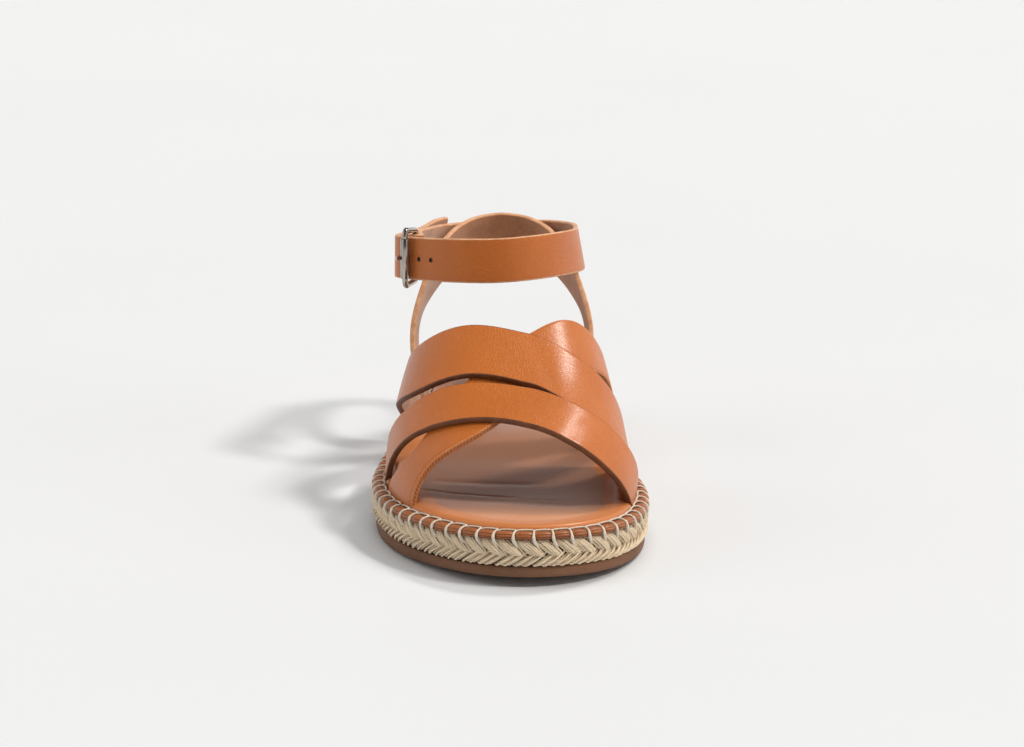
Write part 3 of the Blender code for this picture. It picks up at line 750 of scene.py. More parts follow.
def make_grain_group(name):
    """Pebbled grain of leather: raised cells with fine folds between them."""
    w, given, out = new_group(
        name,
        {"Cells per metre": (FLOAT, 1500.0), "Unevenness": (FLOAT, 0.4)},
        {"Height": FLOAT, "Folds": FLOAT},
    )
    place_on = w.place()
    wander = w.add("ShaderNodeTexNoise", {"Vector": place_on, "Scale": GRAIN_WANDER, "Detail": 2.0})
    shift = w.add(
        "ShaderNodeVectorMath",
        {0: wander.outputs["Color"], "Scale": GRAIN_SHIFT},
        operation="SCALE",
    )
    moved = w.add("ShaderNodeVectorMath", {0: place_on, 1: shift.outputs[0]}, operation="ADD")
    cells = w.add(
        "ShaderNodeTexVoronoi",
        {"Vector": moved.outputs[0], "Scale": given["Cells per metre"]},
        feature="DISTANCE_TO_EDGE",
    )
    raised = w.ease(cells.outputs["Distance"], 0.0, GRAIN_FOLD)
    swells = w.math("MULTIPLY", w.noise(place_on, GRAIN_SWELLS, detail=3.0), given["Unevenness"])
    w.link(w.math("ADD", raised, swells), out["Height"])
    w.link(w.math("SUBTRACT", 1.0, raised), out["Folds"])


def make_dye_group(name):
    """Uneven dye: broad cloudy patches and fine specks between two colours."""
    w, given, out = new_group(
        name,
        {
            "Colour": (COLOUR, (0.5, 0.2, 0.06, 1)),
            "Deep colour": (COLOUR, (0.3, 0.1, 0.03, 1)),
            "Patches per metre": (FLOAT, 45.0),
            "Strength": (FLOAT, 0.6),
        },
        {"Colour": COLOUR},
    )
    place_on = w.place()
    patches = w.ease(w.noise(place_on, given["Patches per metre"], detail=3.0), 0.36, 0.68)
    specks = w.ease(w.noise(place_on, DYE_SPECKS, detail=3.0, roughness=0.6), 0.35, 0.75)
    share = w.math("ADD", w.math("MULTIPLY", patches, PATCH_SHARE), w.math("MULTIPLY", specks, SPECK_SHARE))
    share = w.math("MULTIPLY", share, given["Strength"], clamp=True)
    w.link(w.blend(share, given["Colour"], given["Deep colour"]), out["Colour"])


def make_rim_group(name):
    """Mask of the darker, burnished strip along a cut edge."""
    w, given, out = new_group(
        name,
        {"Width in mm": (FLOAT, 1.6), "Fade in mm": (FLOAT, 1.4)},
        {"Mask": FLOAT},
    )
    wavy = w.math("MULTIPLY", w.noise(w.place(), RIM_WAVES), RIM_REACH)
    width = given["Width in mm"]
    inside = w.math("SUBTRACT", width, given["Fade in mm"])
    w.link(w.ease(w.math("ADD", w.lay()["Z"], wavy), inside, width, to_low=1.0, to_high=0.0), out["Mask"])


def make_fibre_group(name):
    """Fibres that run along a yarn or a thread, with its twist."""
    w, given, out = new_group(
        name,
        {"Fibres round": (FLOAT, 14.0), "Twist per mm": (FLOAT, 0.22), "Yarn tint": (FLOAT, 1.0)},
        {"Height": FLOAT, "Shade": FLOAT},
    )
    lay = w.lay()
    turned = w.math("ADD", lay["Y"], w.math("MULTIPLY", lay["X"], given["Twist per mm"]))
    angle = w.math("MULTIPLY", turned, 2 * math.pi)
    reach = w.math("MULTIPLY", given["Fibres round"], FIBRE_ROOM)
    along = w.math("MULTIPLY", lay["X"], FIBRE_ALONG)
    at = w.add(
        "ShaderNodeCombineXYZ",
        {
            "X": w.math("MULTIPLY", w.math("COSINE", angle), reach),
            "Y": w.math("MULTIPLY", w.math("SINE", angle), reach),
            "Z": w.math("ADD", along, w.math("MULTIPLY", lay["Z"], YARN_APART)),
        },
    ).outputs[0]
    fibres = w.noise(at, scale=1.6, detail=3.0, roughness=0.65)
    own = w.math("FRACT", w.math("MULTIPLY", lay["Z"], GOLDEN_SHARE))
    tint = w.math("MULTIPLY", w.math("SUBTRACT", own, 0.5), given["Yarn tint"])
    shade = w.math("ADD", w.ease(fibres, 0.32, 0.66), w.math("MULTIPLY", tint, YARN_TINT))
    w.link(w.ease(fibres, 0.3, 0.7), out["Height"])
    w.link(shade, out["Shade"])


def make_scuff_group(name):
    """Fine scuffs and handling marks as a mask."""
    w, given, out = new_group(
        name,
        {"Marks per metre": (FLOAT, 90.0), "Amount": (FLOAT, 0.5)},
        {"Mask": FLOAT},
    )
    fine = w.noise(w.stretched(SCUFF_STRETCH), given["Marks per metre"], detail=6.0, roughness=0.7)
    hazy = w.noise(w.place(), SCUFF_HAZES, detail=2.0)
    marks = w.math("MULTIPLY", w.ease(fine, 0.55, 0.75), w.ease(hazy, 0.35, 0.7))
    w.link(w.math("MULTIPLY", marks, given["Amount"], clamp=True), out["Mask"])


GROUP_MAKERS = {
    "Leather grain": make_grain_group,
    "Uneven dye": make_dye_group,
    "Burnished rim": make_rim_group,
    "Fibres": make_fibre_group,
    "Scuffs": make_scuff_group,
}


# Materials

# How much the folds of the grain take the deep colour, and how much scuffs roughen leather
FOLD_SHADE, SCUFF_ROUGHNESS = 0.28, 0.2
# How much the shade between fibres, the scuffs of rubber and the streaks of metal change the colour
FIBRE_SHADE, RUBBER_SCUFFS, METAL_STREAKS = 0.3, 0.4, 0.6
STREAK_STRETCH = (1.0, 1.0, 0.06)


def new_material(name, **shader_values):
    """A material with its Principled shader, whose sockets are set by name with _ for a space."""
    material = bpy.data.materials.new(name)
    material.use_nodes = True
    shader = material.node_tree.nodes["Principled BSDF"]
    for key, value in shader_values.items():
        shader.inputs[key.replace("_", " ")].default_value = value
    return material, Wiring(material.node_tree), shader.inputs


def grain_leather(
    name, colour, deep, look, cells=1150.0, depth=0.13, roughness=(0.36, 0.5), rim=(1.6, 1.4, 0.45), wear_and_painted_shade=None
):
    """The grain side of a strap, the welt or the footbed.

    Cells are per metre, the grain's depth is in mm, and roughness is that of its cells and of its folds.
    The rim has a width and a fade in mm and a strength; the last argument is a colour of painted shade and
    the two y between which it sets in.
    """
    material, w, shader = new_material(name, Specular_IOR_Level=0.4, Coat_Weight=0.3, Coat_Roughness=0.25)
    dyed = w.dye(colour, deep, look.dye_unevenness)
    # Painted shade: the colour turns darker behind the given y, standing in for the straps' shade on the
    # footbed
    if wear_and_painted_shade:
        shade_colour, first, last = wear_and_painted_shade
        dyed = w.blend(w.ease(w.axes(w.place())["Y"], first * MM, last * MM), dyed, rgba(shade_colour))
    width, fade, strength = rim
    edge = w.group("Burnished rim", {"Width in mm": width, "Fade in mm": fade})["Mask"]
    dyed = w.blend(w.math("MULTIPLY", edge, strength), dyed, rgba(deep))
    grain = w.group("Leather grain", {"Cells per metre": cells})
    dyed = w.blend(w.math("MULTIPLY", grain["Folds"], FOLD_SHADE), dyed, rgba(deep))
    w.link(dyed, shader["Base Color"])
    on_cells, in_folds = roughness
    gloss = w.ease(grain["Height"], 0.3, 1.2, to_low=in_folds, to_high=on_cells)
    scuffed = w.math("MULTIPLY", w.scuffs(Amount=look.wear), SCUFF_ROUGHNESS)
    w.link(w.math("ADD", gloss, scuffed), shader["Roughness"])
    w.bump(shader, grain["Height"], strength=0.6, depth=depth)
    return material


def cut_edge(name, colour, deep):
    """The cut edge of leather, waxed or plain, with the layers of its fibres."""
    material, w, shader = new_material(name, Roughness=0.5)
    w.link(w.dye(colour, deep, strength=0.9, patches=260.0), shader["Base Color"])
    w.bump(shader, w.noise(w.place(), scale=2600.0, detail=3.0, roughness=0.7), strength=0.5, depth=0.08)
    return material


def flesh_side(name, colour, deep):
    """The napped inner side of leather."""
    material, w, shader = new_material(name, Roughness=0.88, Sheen_Weight=0.25, Sheen_Roughness=0.5)
    w.link(w.dye(colour, deep, strength=0.8, patches=120.0), shader["Base Color"])
    w.bump(shader, w.noise(w.place(), scale=1900.0, detail=5.0, roughness=0.75), strength=0.55, depth=0.12)
    return material


def fibre_material(name, colour, shaded, fibres, twist, depth):
    """Plant fibre or sewing thread: fibres round it, turns of its twist per mm, depth of the fibres in mm."""
    material, w, shader = new_material(name, Roughness=0.92, Sheen_Weight=0.2, Sheen_Roughness=0.6)
    fibre = w.group("Fibres", {"Fibres round": fibres, "Twist per mm": twist})
    dyed = w.dye(colour, shaded, strength=0.3, patches=160.0)
    # Painted shade between the fibres: the colour turns to the shaded one where the fibres dip, with a random
    # tint for each yarn
    shade = w.math("SUBTRACT", 1.0, fibre["Shade"], clamp=True)
    w.link(w.blend(w.math("MULTIPLY", shade, FIBRE_SHADE), dyed, rgba(shaded)), shader["Base Color"])
    w.bump(shader, fibre["Height"], strength=0.8, depth=depth)
    return material


def rubber_material(look):
    """Matt rubber, paler where it is scuffed."""
    material, w, shader = new_material("outsole_rubber")
    dyed = w.dye(look.rubber_colour, look.rubber_deep, strength=0.8, patches=70.0)
    scuffs = w.scuffs(Marks_per_metre=140.0, Amount=0.6)
    wear_and_painted_shade = w.blend(w.math("MULTIPLY", scuffs, RUBBER_SCUFFS), dyed, rgba(look.rubber_worn))
    w.link(wear_and_painted_shade, shader["Base Color"])
    w.link(w.ease(scuffs, 0.0, 1.0, to_low=0.72, to_high=0.9), shader["Roughness"])
    w.bump(shader, w.noise(w.place(), scale=1400.0, detail=4.0, roughness=0.7), strength=0.4, depth=0.1)
    return material


def metal_material(look):
    """Plated metal with dull streaks up and down it."""
    material, w, shader = new_material("buckle_metal", Metallic=1.0)
    dyed = w.dye(look.metal_colour, look.metal_deep, strength=0.5, patches=240.0)
    scuffs = w.scuffs(Marks_per_metre=420.0, Amount=0.8)
    streaks = w.ease(w.noise(w.stretched(STREAK_STRETCH), 1500.0, detail=3.0, roughness=0.6), 0.4, 0.62)
    dull = w.blend(w.math("MULTIPLY", streaks, METAL_STREAKS), dyed, rgba(look.metal_deep))
    w.link(dull, shader["Base Color"])
    w.link(w.ease(scuffs, 0.0, 1.0, to_low=0.16, to_high=0.42), shader["Roughness"])
    w.bump(shader, scuffs, strength=0.15, depth=0.02)
    return material


# What a user would change

def length_prop(label, text, millimetres):
    return bpy.props.FloatProperty(
        name=label, description=text, default=millimetres * MM, unit="LENGTH", precision=5
    )


def colour_prop(label, text, colour):
    return bpy.props.FloatVectorProperty(
        name=label, description=text, default=colour, subtype="COLOR", size=3, min=0.0, max=1.0
    )


def share_prop(label, text, value, high=1.0):
    return bpy.props.FloatProperty(
        name=label, description=text, default=value, min=0.0, max=high, subtype="FACTOR"
    )


def light_prop(label, text, value):
    return bpy.props.FloatProperty(name=label, description=text, default=value, min=0.0)


def angle_prop(label, text, degrees):
    return bpy.props.FloatProperty(
        name=label, description=text, default=math.radians(degrees), subtype="ANGLE"
    )


class SandalLeather(bpy.types.PropertyGroup):
    """Leather of the straps, the footbed and the welt."""
    strap_colour: colour_prop("Strap", "Colour of the straps' grain side", (0.52, 0.142, 0.020))
    strap_deep: colour_prop("Strap, deep", "Colour of the grain side's darker patches", (0.40, 0.096, 0.011))
    edge_colour: colour_prop("Cut edge", "Colour of the waxed cut edges", (0.165, 0.058, 0.022))
    edge_deep: colour_prop("Cut edge, deep", "Colour of the cut edges' darker fibres", (0.080, 0.026, 0.010))
    pale_edge: colour_prop("Pale edge", "Colour of the plain edges of ankle and heel", (0.72, 0.41, 0.23))
    pale_edge_deep: colour_prop("Pale edge, deep", "Colour of those edges' darker fibres", (0.50, 0.22, 0.10))
    # Painted shade: the walls of the holes are coloured near black for the shade inside them
    hole_painted_shade: colour_prop("Holes", "Colour inside the ankle strap's holes", (0.012, 0.006, 0.003))
    turned_edge: colour_prop("Turned edge", "Colour of the low strap's turned edges", (0.56, 0.22, 0.075))
    edge_thread: colour_prop("Edge thread", "Colour of the low strap's stitches", (0.36, 0.12, 0.04))
    # Painted shade: the stitches' colour between their fibres
    edge_thread_shaded: colour_prop("Edge thread, deep", "Colour between their fibres", (0.22, 0.07, 0.022))
    flesh_colour: colour_prop("Flesh side", "Colour of the napped inner side", (0.48, 0.25, 0.135))
    flesh_deep: colour_prop("Flesh side, deep", "Colour of the inner side's darker nap", (0.30, 0.14, 0.07))
    footbed_colour: colour_prop("Footbed", "Colour of the footbed", (0.60, 0.27, 0.125))
    footbed_deep: colour_prop("Footbed, deep", "Colour of its rim and darker patches", (0.52, 0.17, 0.045))
    # Painted shade: the footbed's colour behind the toes, darkened where the straps shade it
    footbed_painted_shade: colour_prop("Footbed, worn", "Colour where a foot has darkened it", (0.30, 0.14, 0.078))
    welt_colour: colour_prop("Welt", "Colour of the welt", (0.36, 0.115, 0.034))
    welt_deep: colour_prop("Welt, deep", "Colour of the welt's folds", (0.16, 0.045, 0.014))
    dye_unevenness: share_prop("Dye unevenness", "How much the dye varies over the leather", 0.45)
    wear: share_prop("Wear", "How much the leather is scuffed", 0.5)
    edge_corner: length_prop("Edge rounding", "Radius of the rounded cut edges", 0.5)


class SandalSole(bpy.types.PropertyGroup):
    """Rubber outsole, plaited rope and the blanket stitch."""
    rope_colour: colour_prop("Rope", "Colour of the plaited rope", (0.99, 0.80, 0.56))
    rope_shaded: colour_prop("Rope, shaded", "Colour between the rope's fibres", (0.86, 0.63, 0.39))
    # Painted shade: the core is coloured dark to stand for the shade in the gaps between the strands
    rope_gap_shade: colour_prop("Rope, inside", "Colour of the dark core between the strands", (0.16, 0.09, 0.045))
    thread_colour: colour_prop("Thread", "Colour of the blanket stitch", (0.86, 0.76, 0.62))
    thread_shaded: colour_prop("Thread, shaded", "Colour between the thread's fibres", (0.58, 0.46, 0.33))
    rubber_colour: colour_prop("Rubber", "Colour of the outsole", (0.195, 0.090, 0.046))
    rubber_deep: colour_prop("Rubber, deep", "Colour of the outsole's darker patches", (0.130, 0.058, 0.029))
    rubber_worn: colour_prop("Rubber, worn", "Colour of the outsole's scuffed places", (0.23, 0.145, 0.10))
    yarns: bpy.props.IntProperty(
        name="Yarns", description="Yarns in a strand of rope", default=6, min=3, max=9
    )
    yarn_radius: length_prop("Yarn radius", "Radius of a yarn", 0.39)
    thread_radius: length_prop("Thread radius", "Radius of the blanket stitch's thread", 0.33)
    tread_depth: length_prop("Tread depth", "Depth of the grooves under the outsole", 0.7)
    tread_pitch: length_prop("Tread pitch", "Distance between the grooves under the outsole", 6.0)


class SandalBuckle(bpy.types.PropertyGroup):
    """Metal of the buckle."""
    metal_colour: colour_prop("Metal", "Colour of the plated metal", (0.56, 0.52, 0.47))
    metal_deep: colour_prop("Metal, dull", "Colour of the metal's dull places", (0.20, 0.17, 0.14))


class SandalStage(bpy.types.PropertyGroup):
    """Camera, floor and light."""
    look_at: bpy.props.FloatVectorProperty(
        name="Look at", description="Point that the camera looks at", default=(0.0009, -0.0318, 0.0525),
        subtype="TRANSLATION", unit="LENGTH", size=3,
    )
    distance: length_prop("Distance", "Distance of the camera from that point", 1200.0)
    elevation: angle_prop("Elevation", "Angle by which the camera looks down", 14.0)
    lens: bpy.props.FloatProperty(
        name="Focal length", description="Focal length of the camera in millimetres", default=117.95
    )
    floor_colour: colour_prop("Floor", "Colour of the studio floor", (0.695, 0.705, 0.715))
    key_strength: light_prop("Key light", "Strength of the main light, in front on the inner side", 1.6)
    key_softness: angle_prop("Key softness", "Angle that the main light fills", 8.0)
    side_strength: light_prop("Side light", "Strength of the light behind the inner side, which glints", 1.2)
    side_softness: angle_prop("Side softness", "Angle that the side light fills", 11.0)
    outer_strength: light_prop("Outer light", "Strength of the broad light on the outer side", 0.65)
    outer_softness: angle_prop("Outer softness", "Angle that the outer light fills", 50.0)
    top_strength: light_prop("Top light", "Strength of the broad light overhead", 1.15)
    top_softness: angle_prop("Top softness", "Angle that the top light fills", 50.0)
    front_strength: light_prop("Front light", "Strength of the low light in front of the toe", 0.5)
    front_softness: angle_prop("Front softness", "Angle that the front light fills", 40.0)
    inner_strength: light_prop("Inner light", "Strength of the low light on the inner side", 0.45)
    inner_softness: angle_prop("Inner softness", "Angle that the inner light fills", 40.0)
    ambient: share_prop("Ambient", "Brightness of the whole room", 0.06, 2.0)
    side_walls: share_prop("Side walls", "Brightness of the walls at both sides in reflections", 0.75, 2.0)


# Pieces of the sole

# Edge distance where no cut edge is near, and columns of faces that close a hidden side
FAR_FROM_EDGE = 9.0
HIDDEN_COLUMNS = 3
OUTSOLE_POINTS = 480
# Section of the outsole from its underside: inset from its edge, level
OUTSOLE_SECTION = ((1.5, 0.0), (0.7, 0.15), (0.2, 0.55), (0.0, 1.2), (0.0, 3.2), (0.15, 3.9), (0.6, 4.4))
# The outsole thins towards the toe: by how much, from which y, over what run
TOE_ROLL, TOE_ROLL_FROM, TOE_ROLL_RUN = 0.7, -72.0, 40.0
TREAD_COLUMNS = 44
# Reach and length of the tread's waves, then where a groove begins on the wave across it and how soft it is
TREAD_WAVE = (4.0, 26.0)
TREAD_GROOVE = (0.35, 0.4)
# Plain border of the tread, over what run it fades in there and at the ends of its stretches
TREAD_BORDER, BORDER_FADE, STRETCH_FADE = 5.0, 2.0, 4.0
# Stretches of the underside that touch the floor: first y, last y
TREAD_ZONES = ((-106.0, -24.0), (44.0, 108.0))


def sole_rings(points, normals, section):
    """Rings through a section of insets and levels, bent with the toe spring and the arch."""
    rings = []
    for inset, level in section:
        plan = points - normals * np.broadcast_to(inset, len(points))[:, None]
        rings.append(np.column_stack([plan, level + sole_lift(plan[:, 1])]))
    return np.array(rings)


def sole_lay(rings):
    """Run round the sole and run along the section, with no cut edge near."""
    around = np.arange(rings.shape[1]) * np.linalg.norm(rings[0, 1] - rings[0, 0])
    section = np.cumsum(np.linalg.norm(np.diff(rings[:, 0], axis=0, prepend=rings[:1, 0]), axis=-1))
    lay = np.empty((*rings.shape[:2], 3))
    lay[..., 0] = around[None, :]
    lay[..., 1] = section[:, None]
    lay[..., 2] = FAR_FROM_EDGE
    return lay


def ladder(ring, steps):
    """Grid of points between the two sides of a ring, from the toe to the heel, without the ring itself."""
    half = len(ring) // 2
    lateral = ring[1:half]
    medial = ring[:half:-1]
    share = np.linspace(0, 1, steps + 1)[1:-1, None]
    return lateral[:, None] * (1 - share) + medial[:, None] * share


def fill_ring(skin, ring_index, ring, steps, shape=None, zone=0):
    """Closes a ring with a grid of faces, whose points shape(points) may mould."""
    half = len(ring_index) // 2
    inner = ladder(ring, steps)
    if shape is not None:
        inner = shape(inner)
    lay = inner.copy()
    lay[..., 2] = [np.linalg.norm(row[:, None, :2] - ring[None, :, :2], axis=-1).min(axis=1) for row in inner]
    index = skin.add_points(inner, lay)
    net = np.concatenate([ring_index[1:half, None], index, ring_index[:half:-1, None]], axis=1)
    skin.add_faces(quads(net).reshape(-1, 4).tolist(), zone)
    for tip, row in ((ring_index[0], net[0]), (ring_index[half], net[-1])):
        skin.add_faces([[tip, a, b] for a, b in zip(row[:-1].tolist(), row[1:].tolist())], zone)


def tread(points, depth, pitch):
    """Wavy grooves where the outsole stands on the floor."""
    x, y = points[..., 0], points[..., 1]
    reach, wave = TREAD_WAVE
    start, softness = TREAD_GROOVE
    phase = (y + reach * np.sin(2 * math.pi * x / wave)) / pitch
    groove = smooth((np.cos(2 * math.pi * phase) - start) / softness)
    border = np.minimum(x - edge_x(y, -1, 0.0), edge_x(y, 1, 0.0) - x) - TREAD_BORDER
    inside = np.zeros_like(y)
    for first, last in TREAD_ZONES:
        inside = np.maximum(inside, smooth(np.minimum(y - first, last - y) / STRETCH_FADE))
    raised = points.copy()
    raised[..., 2] += depth * groove * inside * smooth(border / BORDER_FADE)
    return raised


def toe_roll(y):
    """How much the underside of the outsole is rolled up at the toe."""
    return TOE_ROLL * smooth((TOE_ROLL_FROM - y) / TOE_ROLL_RUN)


def build_outsole(context):
    """A rubber sheet with rounded edges, thinner under the toe, with a tread."""
    look = context.scene.sandal_sole
    points, normals = outline_points(OUTSOLE_POINTS)
    rings = sole_rings(points, normals, [(OUTSOLE_INSET + inset, level) for inset, level in OUTSOLE_SECTION])
    levels = np.array([level for _, level in OUTSOLE_SECTION])[:, None]
    rings[..., 2] += toe_roll(rings[..., 1]) * (1 - levels / OUTSOLE_TOP)
    skin = Skin()
    index = skin.add(rings, sole_lay(rings), wrap_columns=True)
    depth, pitch = look.tread_depth / MM, look.tread_pitch / MM
    fill_ring(skin, index[0], rings[0], TREAD_COLUMNS, lambda grid: tread(grid, depth, pitch))
    fill_ring(skin, index[-1], rings[-1], HIDDEN_COLUMNS)
    place("outsole_rubber", skin, [rubber_material(look)], "outsole_rubber", "outsole")


ROPE_SEED = 84
YARN_SIDES = 7
YARN_STEPS = 13
# Width of a strand in its room, and how far back its outer yarns lie in mm
STRAND_WIDTH = 0.94
STRAND_ROUND = 1.4
# The lower strands are parted in two: how round each half is, how much of its room it fills
LOWER_ROUND, LOWER_FILL = 2.6, 0.82
# Course of a strand from its outer end to its tip at the middle: share of the way, row height, inset, width
UPPER_STRAND = (
    (0.0, 2.02, 1.5, 0.95),
    (0.2, 1.80, 0.55, 1.0),
    (0.5, 1.46, 0.0, 1.0),
    (0.8, 1.10, 0.1, 0.92),
    (1.0, 0.88, 0.6, 0.72),
    (1.15, 0.76, 1.7, 0.5),
)
LOWER_STRAND = (
    (0.0, -0.02, 1.4, 0.9),
    (0.2, 0.20, 0.6, 0.98),
    (0.5, 0.50, 0.2, 1.0),
    (0.8, 0.82, 0.75, 1.0),
    (1.0, 1.02, 1.5, 0.95),
    (1.15, 1.15, 2.4, 0.9),
)
# How far chance moves a strand out, and round as a share of a strand
STRAND_PUSH, STRAND_SLIDE = 0.09, 0.025
# The same for a yarn's ends round and for the whole yarn out, and how uneven its radius is
YARN_SWAY, YARN_PUSH, YARN_UNEVEN = 0.02, 0.07, 0.08
# How far a yarn's middle stays from the top and the foot of the rope, in radii
YARN_CLEAR = 0.9
# Zone of the core's faces, where the strands have 0
CORE_ZONE = 1
CORE_INSET = 2.9
CORE_POINTS = 336
CORE_COLUMNS = 2
# The core's dark colour is painted shade in the gaps between the strands; how bright its shaded colour is
# beside its own
CORE_SHADE = 0.5
ROPE_FIBRES = 14.0


def plait_yarns(look, rng):
    """Paths and radii of all yarns; the lower strands, parted in two, lean the other way than the upper."""
    low = OUTSOLE_TOP + GAP
    tall = (ROPE_TOP - low) / 2
    radius = look.yarn_radius / MM
    clear = radius * YARN_CLEAR
    lanes = 2 * (np.arange(look.yarns) + 0.5) / look.yarns - 1
    off_half = np.abs(lanes) - 0.5
    parted = np.sign(lanes) * (0.5 + LOWER_FILL * off_half)
    upper = (UPPER_STRAND, PLAIT_LEAN, lanes, STRAND_ROUND * lanes ** 2)
    lower = (LOWER_STRAND, LOWER_LEAN, parted, LOWER_ROUND * (2 * off_half) ** 2)
    paths, radii = [], []
    for course, lean, places, sunk in (upper, lower):
        way, *rest = columns(course)
        t = np.linspace(way[0], way[-1], YARN_STEPS)
        height, inset, width = [spline(way, column)(t) for column in rest]
        level = np.clip(low + tall * height, low + clear, ROPE_TOP - clear)
        for strand in range(PLAIT_STRANDS):
            push = rng.normal(0.0, STRAND_PUSH)
            slide = rng.normal(0.0, STRAND_SLIDE)
            for lane, deeper in zip(places, sunk):
                sway = rng.normal(0.0, YARN_SWAY, 2)
                s = strand + slide + lean * (0.5 - t) + 0.5 * STRAND_WIDTH * lane * width
                s = s + sway[0] + (sway[1] - sway[0]) * t
                depth = inset + deeper * width + radius + push + rng.normal(0.0, YARN_PUSH)
                paths.append(on_sole(s, depth, level))
                radii.append(radius * (1 + rng.normal(0.0, YARN_UNEVEN)))
    return np.array(paths), np.array(radii)


def build_rope(context):
    """Two rows of strands, yarn by yarn, round a core coloured dark as painted shade between the strands."""
    look = context.scene.sandal_sole
    paths, radii = plait_yarns(look, np.random.default_rng(ROPE_SEED))
    skin = tubes(paths, radii[:, None, None], YARN_SIDES)
    points, normals = outline_points(CORE_POINTS)
    low = OUTSOLE_TOP + GAP
    levels = (low, (low + ROPE_TOP) / 2, ROPE_TOP)
    core = sole_rings(points, normals, [(CORE_INSET, level) for level in levels])
    index = skin.add(core, sole_lay(core), zones=CORE_ZONE, wrap_columns=True)
    for end in (0, -1):
        fill_ring(skin, index[end], core[end], CORE_COLUMNS, zone=CORE_ZONE)
    outer = look.rope_colour, look.rope_shaded
    # The core's dark colours are painted shade, seen in the gaps between the strands
    dark = look.rope_gap_shade, [CORE_SHADE * channel for channel in look.rope_gap_shade]
    rope = fibre_material("plaited_rope", *outer, ROPE_FIBRES, twist=0.16, depth=0.16)
    inner = fibre_material("rope_core", *dark, ROPE_FIBRES, twist=0.0, depth=0.2)
    place("plaited_rope", skin, [rope, inner], "plaited_rope", "rope_band", smooth_angle=60.0)


WELT_STEPS = 10
# Where a stitch stands between two strands
STITCH_AT = 0.8
# Section of the welt: inset, level, how much it swells between two stitches
WELT_SECTION = (
    (4.5, 14.3, 0.0),
    (1.2, 14.3, 0.0),
    (0.75, 14.38, 0.3),
    (0.5, 14.6, 0.8),
    (0.5, 14.85, 0.9),
    (0.78, 15.02, 0.9),
    (0.5, 15.2, 1.0),
    (0.46, 15.45, 1.0),
    (0.56, 15.65, 1.0),
    (0.9, 15.78, 1.0),
    (0.74, 15.98, 1.0),
    (0.95, 16.25, 0.9),
    (1.6, 16.5, 0.8),
    (2.6, 16.6, 0.6),
    (3.6, 16.5, 0.4),
    (4.3, 16.2, 0.1),
    (4.5, 15.8, 0.0),
)
# How far the welt swells between two stitches, and is drawn in under each
WELT_SWELL, WELT_PINCH = 0.5, 0.8
# Its side turns into its top over a run of levels; there it swells up, and out by less
WELT_TURN_FROM, WELT_TURN_RUN = 15.3, 1.2
WELT_LESS_OUT, WELT_UP = 0.7, 0.8


def build_welt(context):
    """The welt swells between the stitches and is drawn in under each of them."""
    look = context.scene.sandal_leather
    strand = np.arange(PLAIT_STRANDS * WELT_STEPS) / WELT_STEPS
    from_stitch = np.abs(np.mod(strand - STITCH_AT + 0.5, 1.0) - 0.5)
    pillow = np.sqrt(np.sin(math.pi * from_stitch)) * (WELT_SWELL + WELT_PINCH) - WELT_PINCH
    rings = []
    for inset, level, swell in WELT_SECTION:
        out = swell * pillow
        top = smooth((level - WELT_TURN_FROM) / WELT_TURN_RUN)
        rings.append(on_sole(strand, inset - out * (1 - WELT_LESS_OUT * top), level + WELT_UP * out * top))
    rings = np.array(rings)
    skin = Skin()
    skin.add(rings, sole_lay(rings), wrap_rows=True, wrap_columns=True)
    leather = grain_leather(
        "welt_leather", look.welt_colour, look.welt_deep, look,
        cells=1300.0, depth=0.06, roughness=(0.34, 0.5),
    )
    place("welt_leather", skin, [leather], "welt_leather", "welt", smooth_angle=60.0)


STITCH_SEED = 21
THREAD_FIBRES, THREAD_TWIST = 9.0, 0.5
THREAD_SIDES = 8
THREAD_STEPS = 34
# One blanket stitch, from the last one's loop to the rope: strands back from its leg, inset, level
STITCH_ROUTE = (
    (1.00, 3.9, 16.5),
    (0.90, 4.25, 16.75),
    (0.68, 4.42, 16.9),
    (0.45, 4.38, 17.0),
    (0.20, 4.25, 17.0),
    (0.05, 4.05, 17.0),
    (-0.02, 3.3, 16.95),
    (0.00, 1.9, 16.7),
    (0.02, 0.9, 16.1),
    (0.03, 0.45, 15.3),
    (0.02, 0.3, 14.4),
    (-0.05, 0.5, 13.2),
    (-0.16, 1.2, 12.0),
    (-0.24, 2.4, 11.2),
)
# Rows of the route where a stitch turns into its leg, where its thread thickens, and where it is all leg
LEG_BEGINS, LEG_THICKENS, LEG_WHOLE = 5, 7, 8
# By what share the thread thickens there, and over what run
LEG_SWELL, LEG_SWELL_RUN = 0.75, 3.0
# Distance between two strands that spaces the route's points
STRAND_PITCH = 7.0
# Plies of the thread, how far they stand out, and their twist in radians per mm
PLIES, PLY_RISE, PLY_TWIST = 2, 0.1, 1.6
# How far chance moves a leg round as a share of a strand, a loop in, and a stitch up
STITCH_SLANT, STITCH_REACH, STITCH_RISE = 0.03, 0.12, 0.05


